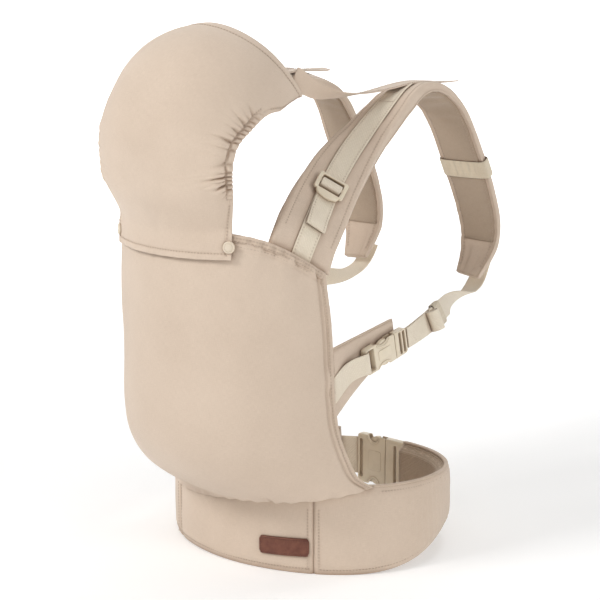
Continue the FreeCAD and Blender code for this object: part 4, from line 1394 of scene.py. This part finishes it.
def buckle_outline(length, width, notch):
    """A socket's outline from its mouth to its closed end, waisted where the prongs show."""
    upper = [(0, width / 2 - 1.2), (-2, width / 2)]
    for k in range(11):
        share = k / 10
        upper.append((-(0.22 + 0.40 * share) * length,
                      width / 2 - notch * math.sin(math.pi * share) ** 0.7))
    corner = 3.5
    for k in range(6):
        turn = math.radians(90 * k / 5)
        upper.append((-length + corner * (1 - math.sin(turn)), width / 2 - corner * (1 - math.cos(turn))))
    return upper + [(x, -y) for x, y in reversed(upper)]


def carve(item, x0, x1, y0, y1, z0, z1, matrix):
    """Cut a box, given in the buckle's own coordinates, out of a piece."""
    corners = [(x, y, z) for x in (x0, x1) for y in (y0, y1) for z in (z0, z1)]
    mesh = bpy.data.meshes.new("cutter")
    faces = [(0, 1, 3, 2), (4, 6, 7, 5), (0, 4, 5, 1), (2, 3, 7, 6), (0, 2, 6, 4), (1, 5, 7, 3)]
    mesh.from_pydata([matrix @ (Vector(c) * MM) for c in corners], [],
                     [f if matrix.determinant() > 0 else f[::-1] for f in faces])
    cutter = add_object("cutter", mesh)
    modifier = item.modifiers.new("hollow", "BOOLEAN")
    modifier.operation = "DIFFERENCE"
    modifier.solver = "EXACT"
    modifier.object = cutter
    depsgraph = bpy.context.evaluated_depsgraph_get()
    result = bpy.data.meshes.new_from_object(item.evaluated_get(depsgraph))
    item.modifiers.clear()
    item.data = result
    bpy.data.objects.remove(cutter)
    item.data.set_sharp_from_angle(angle=SHARP)


# Each buckle's sizes: the socket's length, width and depth, the plug's length, its webbing, and how
# far the socket's webbing slot reaches from its closed end.
SIDE_BUCKLE = (53.0, 32.0, 9.0, 22.0, WEBBING, 14.5)
WAIST_BUCKLE = (46.0, 66.0, 10.0, 34.0, WAIST_WEB, 8.2)


def build_buckle(prefix, matrix, sizes, socket_node, plug, prongs):
    """A side-release buckle: hollow socket, ladder plug with tongue, and two squeeze prongs."""
    length, width, depth, plug_length, web, slot_end = sizes
    half, slot_half = width / 2, web / 2 + 0.8
    notch = 0.12 * width
    hollow = depth / 2 - 1.6
    slot = rounded(-length + 2.8, -length + slot_end, -slot_half, slot_half, 1.4)
    socket = plate(f"{prefix}_socket_shell", buckle_outline(length, width, notch), [slot], depth, 1.3,
                   matrix, ROOT, (socket_node,))
    carve(socket, -0.68 * length, 2, -half - 2, half + 2, -hollow, hollow, matrix)
    panel = rounded(-0.60 * length, -0.16 * length, -half + 0.30 * width, half - 0.30 * width, 2.5)
    lip = []
    for k in range(13):
        share = k / 12
        lip.append((-(0.20 + 0.44 * share) * length,
                    half - 1.1 - (notch + 0.6) * math.sin(math.pi * share) ** 0.7))
    lip += [(x, y - 1.7) for x, y in reversed(lip)]
    levels = (("upper", 1), ("lower", -1))
    for label, face in (("front", 1), ("back", -1)):
        up = matrix @ Matrix.Translation((0, 0, face * (depth / 2 + 0.05) * MM))
        plate(f"{prefix}_socket_panel_{label}", panel, [], 1.1, 0.5, up, ROOT)
        for level, sign in levels:
            plate(f"{prefix}_socket_lip_{label}_{level}", [(x, y * sign) for x, y in lip], [], 1.5, 0.6,
                  up, ROOT)
    base = [(0.4, -half), (plug_length - 3, -half + 0.3), (plug_length, -half + 2.5)]
    base += [(x, -y) for x, y in reversed(base)]
    holes = [rounded(start, start + 4, -slot_half, slot_half, 1.2)
             for start in (plug_length / 2 - 3, plug_length - 7)]
    plate(f"{prefix}_plug_base", base, holes, depth, 1.2, matrix, plug, (plug,))
    plate(f"{prefix}_plug_tongue", rounded(-0.6 * length, 2, -3.5, 3.5, 2), [], 2 * hollow - 0.8, 0.6,
          matrix, plug)
    # The prong's outline: shares of the socket's length, and distances in from its side.
    arm = [(0.0, 8.5), (0.0, 4.4), (0.24, 4.6), (0.27, 0.6), (0.33, 0.1), (0.42, 0.8), (0.52, 3.2),
           (0.58, 6.5), (0.57, 8.3), (0.4, 8.0), (0.2, 7.6)]
    for (level, sign), prong in zip(levels, prongs):
        plate(f"{prefix}_prong_{level}", [(-share * length, (half - inset) * sign) for share, inset in arm],
              [], 2 * hollow - 0.8, 0.7, matrix, prong, (prong,))


SIDE_WEB_ROUTE = [Vector((148.4, -135, 231)), Vector((151.0, -124, 241.5)), Vector((153.6, -110, 252))]
# How the side webbing goes on through the socket: back from its mouth, and outward.
SIDE_WEB_THREADING = [(63, 2.5), (55, 5.4), (51.2, 5.9), (49.0, 3.6), (48.6, 0.5), (48.4, -3.0)]


def side_web_outline(share):
    """The side webbing is wider where it is sewn to the panel."""
    return oval(WEBBING + 10 * (1 - smooth(0, 0.22, share)), WEB_THICK, 9.0)


def build_side_buckles():
    points = SIDE_WEB_ROUTE + [SIDE_MOUTH - side_along * back + OUT * out for back, out in SIDE_WEB_THREADING]
    frames = []
    for index, (place, across, outward) in enumerate(ribbon_frames(points, [-side_across] * 9, 90)):
        share = smooth(0, 22, index)
        frames.append((place, Vector((0, 0, -1)).lerp(across, share), OUT.lerp(outward, share)))
    for name, side in SIDES.items():
        matrix = placement(SIDE_MOUTH, side_along, OUT, side)
        build_buckle(f"side_{name}", matrix, SIDE_BUCKLE, f"side_socket_{name}", f"side_plug_{name}",
                     [f"side_prong_{level}_{name}" for level in ("upper", "lower")])
        sweep(frames, side_web_outline).make(f"side_webbing_{name}", "webbing", side=side,
                                             stands_for=(f"socket_webbing_{name}",))


LOWER_ROUTE = [SIDE_MOUTH + side_along * 19.5, SIDE_MOUTH + side_along * 26, Vector((154, 22, 282.0)),
               Vector((142, 68, 288)), Vector((124, 112, 290)), Vector((107, 152, 288)),
               Vector((97, 190, 288.5)), Vector((93.5, 213, 299.5)), Vector((92.5, 229, 322))]
LOWER_SIDES = [-side_across, -side_across, Vector((0.20, 0.25, -0.94)), Vector((0.38, 0.22, -0.90)),
               Vector((0.30, 0.10, -0.95)), Vector((-0.45, -0.1, -0.85)), Vector((-0.95, -0.2, -0.25)),
               Vector((-1, 0, 0)), Vector((-1, 0.1, 0))]
LOWER_STEPS = 149
lower_frames = ribbon_frames(LOWER_ROUTE, LOWER_SIDES, LOWER_STEPS + 1)
ROLL_SHARE, RING_SHARE = 6 / 28, 9 / 28


def roll_frames():
    """The spiral of the webbing's rolled-up tail, lying on the lower webbing."""
    place, across, outward = lower_frames[round(ROLL_SHARE * LOWER_STEPS)]
    centre, along = place + outward * (8.5 + WEB_THICK), outward.cross(across)
    frames = []
    for index in range(120):
        share = index / 119
        turn = -math.pi / 2 - 2 * math.pi * 2.9 * (1 - share)
        radius = 1.9 + 5.9 * share + 0.3 * math.sin(turn * 2)
        spoke = along * math.cos(turn) + outward * math.sin(turn)
        frames.append((centre + spoke * radius, across, spoke))
    return frames


def build_lower_webbing():
    tail = raised(part_of(lower_frames, 0.02, ROLL_SHARE - 0.015), WEB_THICK + 0.6)
    fold = raised(part_of(lower_frames, ROLL_SHARE + 0.02, RING_SHARE + 0.05), WEB_THICK + 0.4)
    ring = raised([lower_frames[round(RING_SHARE * LOWER_STEPS)]], 1.4)[0]
    for name, side in SIDES.items():
        body = f"side_plug_{name}"
        strip = webbing(f"plug_webbing_{name}", lower_frames, None, side, (f"lower_webbing_{name}",))
        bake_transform(strip)
        webbing(f"plug_tail_{name}", tail, body, side)
        webbing(f"tail_roll_{name}_spiral", roll_frames(), body, side, (f"tail_roll_{name}",), thick=1.6)
        band(f"tail_keeper_band_{name}", ring, WEBBING + 2.4, 7.0, 22.0, 1.1, body, side,
             (f"tail_keeper_{name}",))
        webbing(f"plug_fold_{name}", fold, body, side)


build_wings()
build_side_buckles()
build_lower_webbing()

# ======== waist buckle and webbing
WAIST_MOUTH = Vector((-2.0, 156.0, 53.0))


def upright(points):
    """Frames for webbing that stands on edge along (x, y) points."""
    places = [Vector((x, y, 55.0)) for x, y in points]
    return ribbon_frames(places, [Vector((0, 0, 1))] * len(places), 90)


def build_waist():
    matrix = placement(WAIST_MOUTH, Vector((1, 0, 0)), Vector((0, 1, 0)))
    build_buckle("waist", matrix, WAIST_BUCKLE, "waist_socket", "waist_plug",
                 ["waist_prong_lower", "waist_prong_upper"])

    def around(angle, outward):
        return tuple(belt_point(angle, outward))[:2]
    right = [around(-a, 1.7) for a in (122, 130, 138, 146, 154)] + [(-62, 146.5), (-48, 154.5), (-42, 156.5)]
    left = [(28.0, 156.0), (34, 156.0), (44, 154.5)] + [around(a, 3.2) for a in (160, 153, 146, 138)]
    sewn, pull = upright(right), upright(left)
    for label, frames, body, node in (("sewn", sewn, ROOT, "waist_webbing_right"),
                                      ("pull", pull, "waist_plug", "waist_webbing_left")):
        webbing(f"waist_webbing_{label}", frames, body, 1.0, (node,), WAIST_WEB)
        edge_stitches(f"waist_{label}_stitches", frames, body, 1.0, WAIST_WEB)
    cross_stitch("waist_box_right", sewn[2], sewn[14], 1.0, WAIST_WEB)


build_waist()

# ======== hood details
TAPE_ROUTE = [(79.5, -124, 583), (81, -109, 578), (82.5, -88, 569), (85, -55, 560.5), (88, -12, 558.5),
              (92, 38, 562.5), (95, 78, 565), (98, 110, 562.5), (103, 150, 560)]
# The way the tape's width lies along its route, as the hood folds.
TAPE_SIDES = [(0.10, -0.46, 0.88), (0.16, -0.42, 0.88), (0.45, -0.25, 0.85), (0.9, 0.0, 0.4), (1, 0, 0.15),
              (1, 0, 0), (1, 0, 0), (1, 0, 0), (1, 0, 0.15)]
tape_frames = ribbon_frames(TAPE_ROUTE, TAPE_SIDES, 130)


def tape_outline(share):
    """The tape is gathered into the rim at its root and has a folded, tapering free end."""
    width = 22.0 + 11.0 * (1 - smooth(0.0, 0.10, share)) - 9.0 * smooth(0.93, 1.0, share)
    return [(a, o + 0.5 * math.cos(a / 11 * math.pi / 2)) for a, o in oval(width, 1.5, 7.0, 12)]


SNAP_ACROSS = 85.2
SNAP_KEY = 0.80


LATHE_STEPS = 40
SNAP_CAP = [(7.0, 0.0), (7.1, 0.6), (6.9, 1.6), (6.3, 2.3), (5.5, 2.5), (4.9, 2.1), (4.6, 2.1),
            (4.1, 2.5), (2.6, 2.75), (0.6, 2.8)]
SNAP_STUD = [(6.0, 0.0), (5.9, -1.0), (5.2, -1.6), (3.2, -1.7), (2.9, -1.1), (0.5, -1.0)]


def lathe(name, profile, place, axis, side, stands_for):
    """A turned piece: profile of (radius, height) points about an axis."""
    first = axis.orthogonal().normalized()
    second = axis.cross(first)
    turns = [2 * math.pi * k / LATHE_STEPS for k in range(LATHE_STEPS)]
    rows = [[place + axis * height + (first * math.cos(turn) + second * math.sin(turn)) * radius
             for turn in turns] for radius, height in profile]
    return Surface().tube(rows, turn=False).make(name, "snap_plastic", ROOT, side, stands_for)


def snap_place():
    """The snap's foot and axis, on the hood's finished face."""
    low, high = 0.5, 1.0
    for step in range(30):
        share = (low + high) / 2
        if hood_point(share, SNAP_KEY).x < SNAP_ACROSS:
            low = share
        else:
            high = share
    return hood_surface(share, SNAP_KEY)


def build_hood_details():
    foot, normal = snap_place()
    for name, side in SIDES.items():
        ribbon = sweep(tape_frames, tape_outline).make(f"hood_tape_ribbon_{name}", "shell_fabric", "hood",
                                                       side, (f"hood_tape_{name}",))
        tape_pieces = [ribbon]
        for label, edge in (("b", -1), ("a", 1)):
            frames = tape_frames[14:-12]
            route = [p + a * edge * 9.0 + o * 0.95 for p, a, o in frames]
            tape_pieces.append(stitches(f"hood_tape_stitches_{name}_{label}", "hood", route,
                                        [o for p, a, o in frames], side=side))
        for piece in tape_pieces:
            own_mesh(piece)
        lathe(f"snap_button_{name}", SNAP_CAP, foot - normal * 0.3, normal, side, (f"snap_cap_{name}",))
        lathe(f"snap_back_{name}", SNAP_STUD, foot - normal * 13.2, normal, side, (f"snap_stud_{name}",))


build_hood_details()
for piece in [hood] + hood_seams:
    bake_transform(piece)
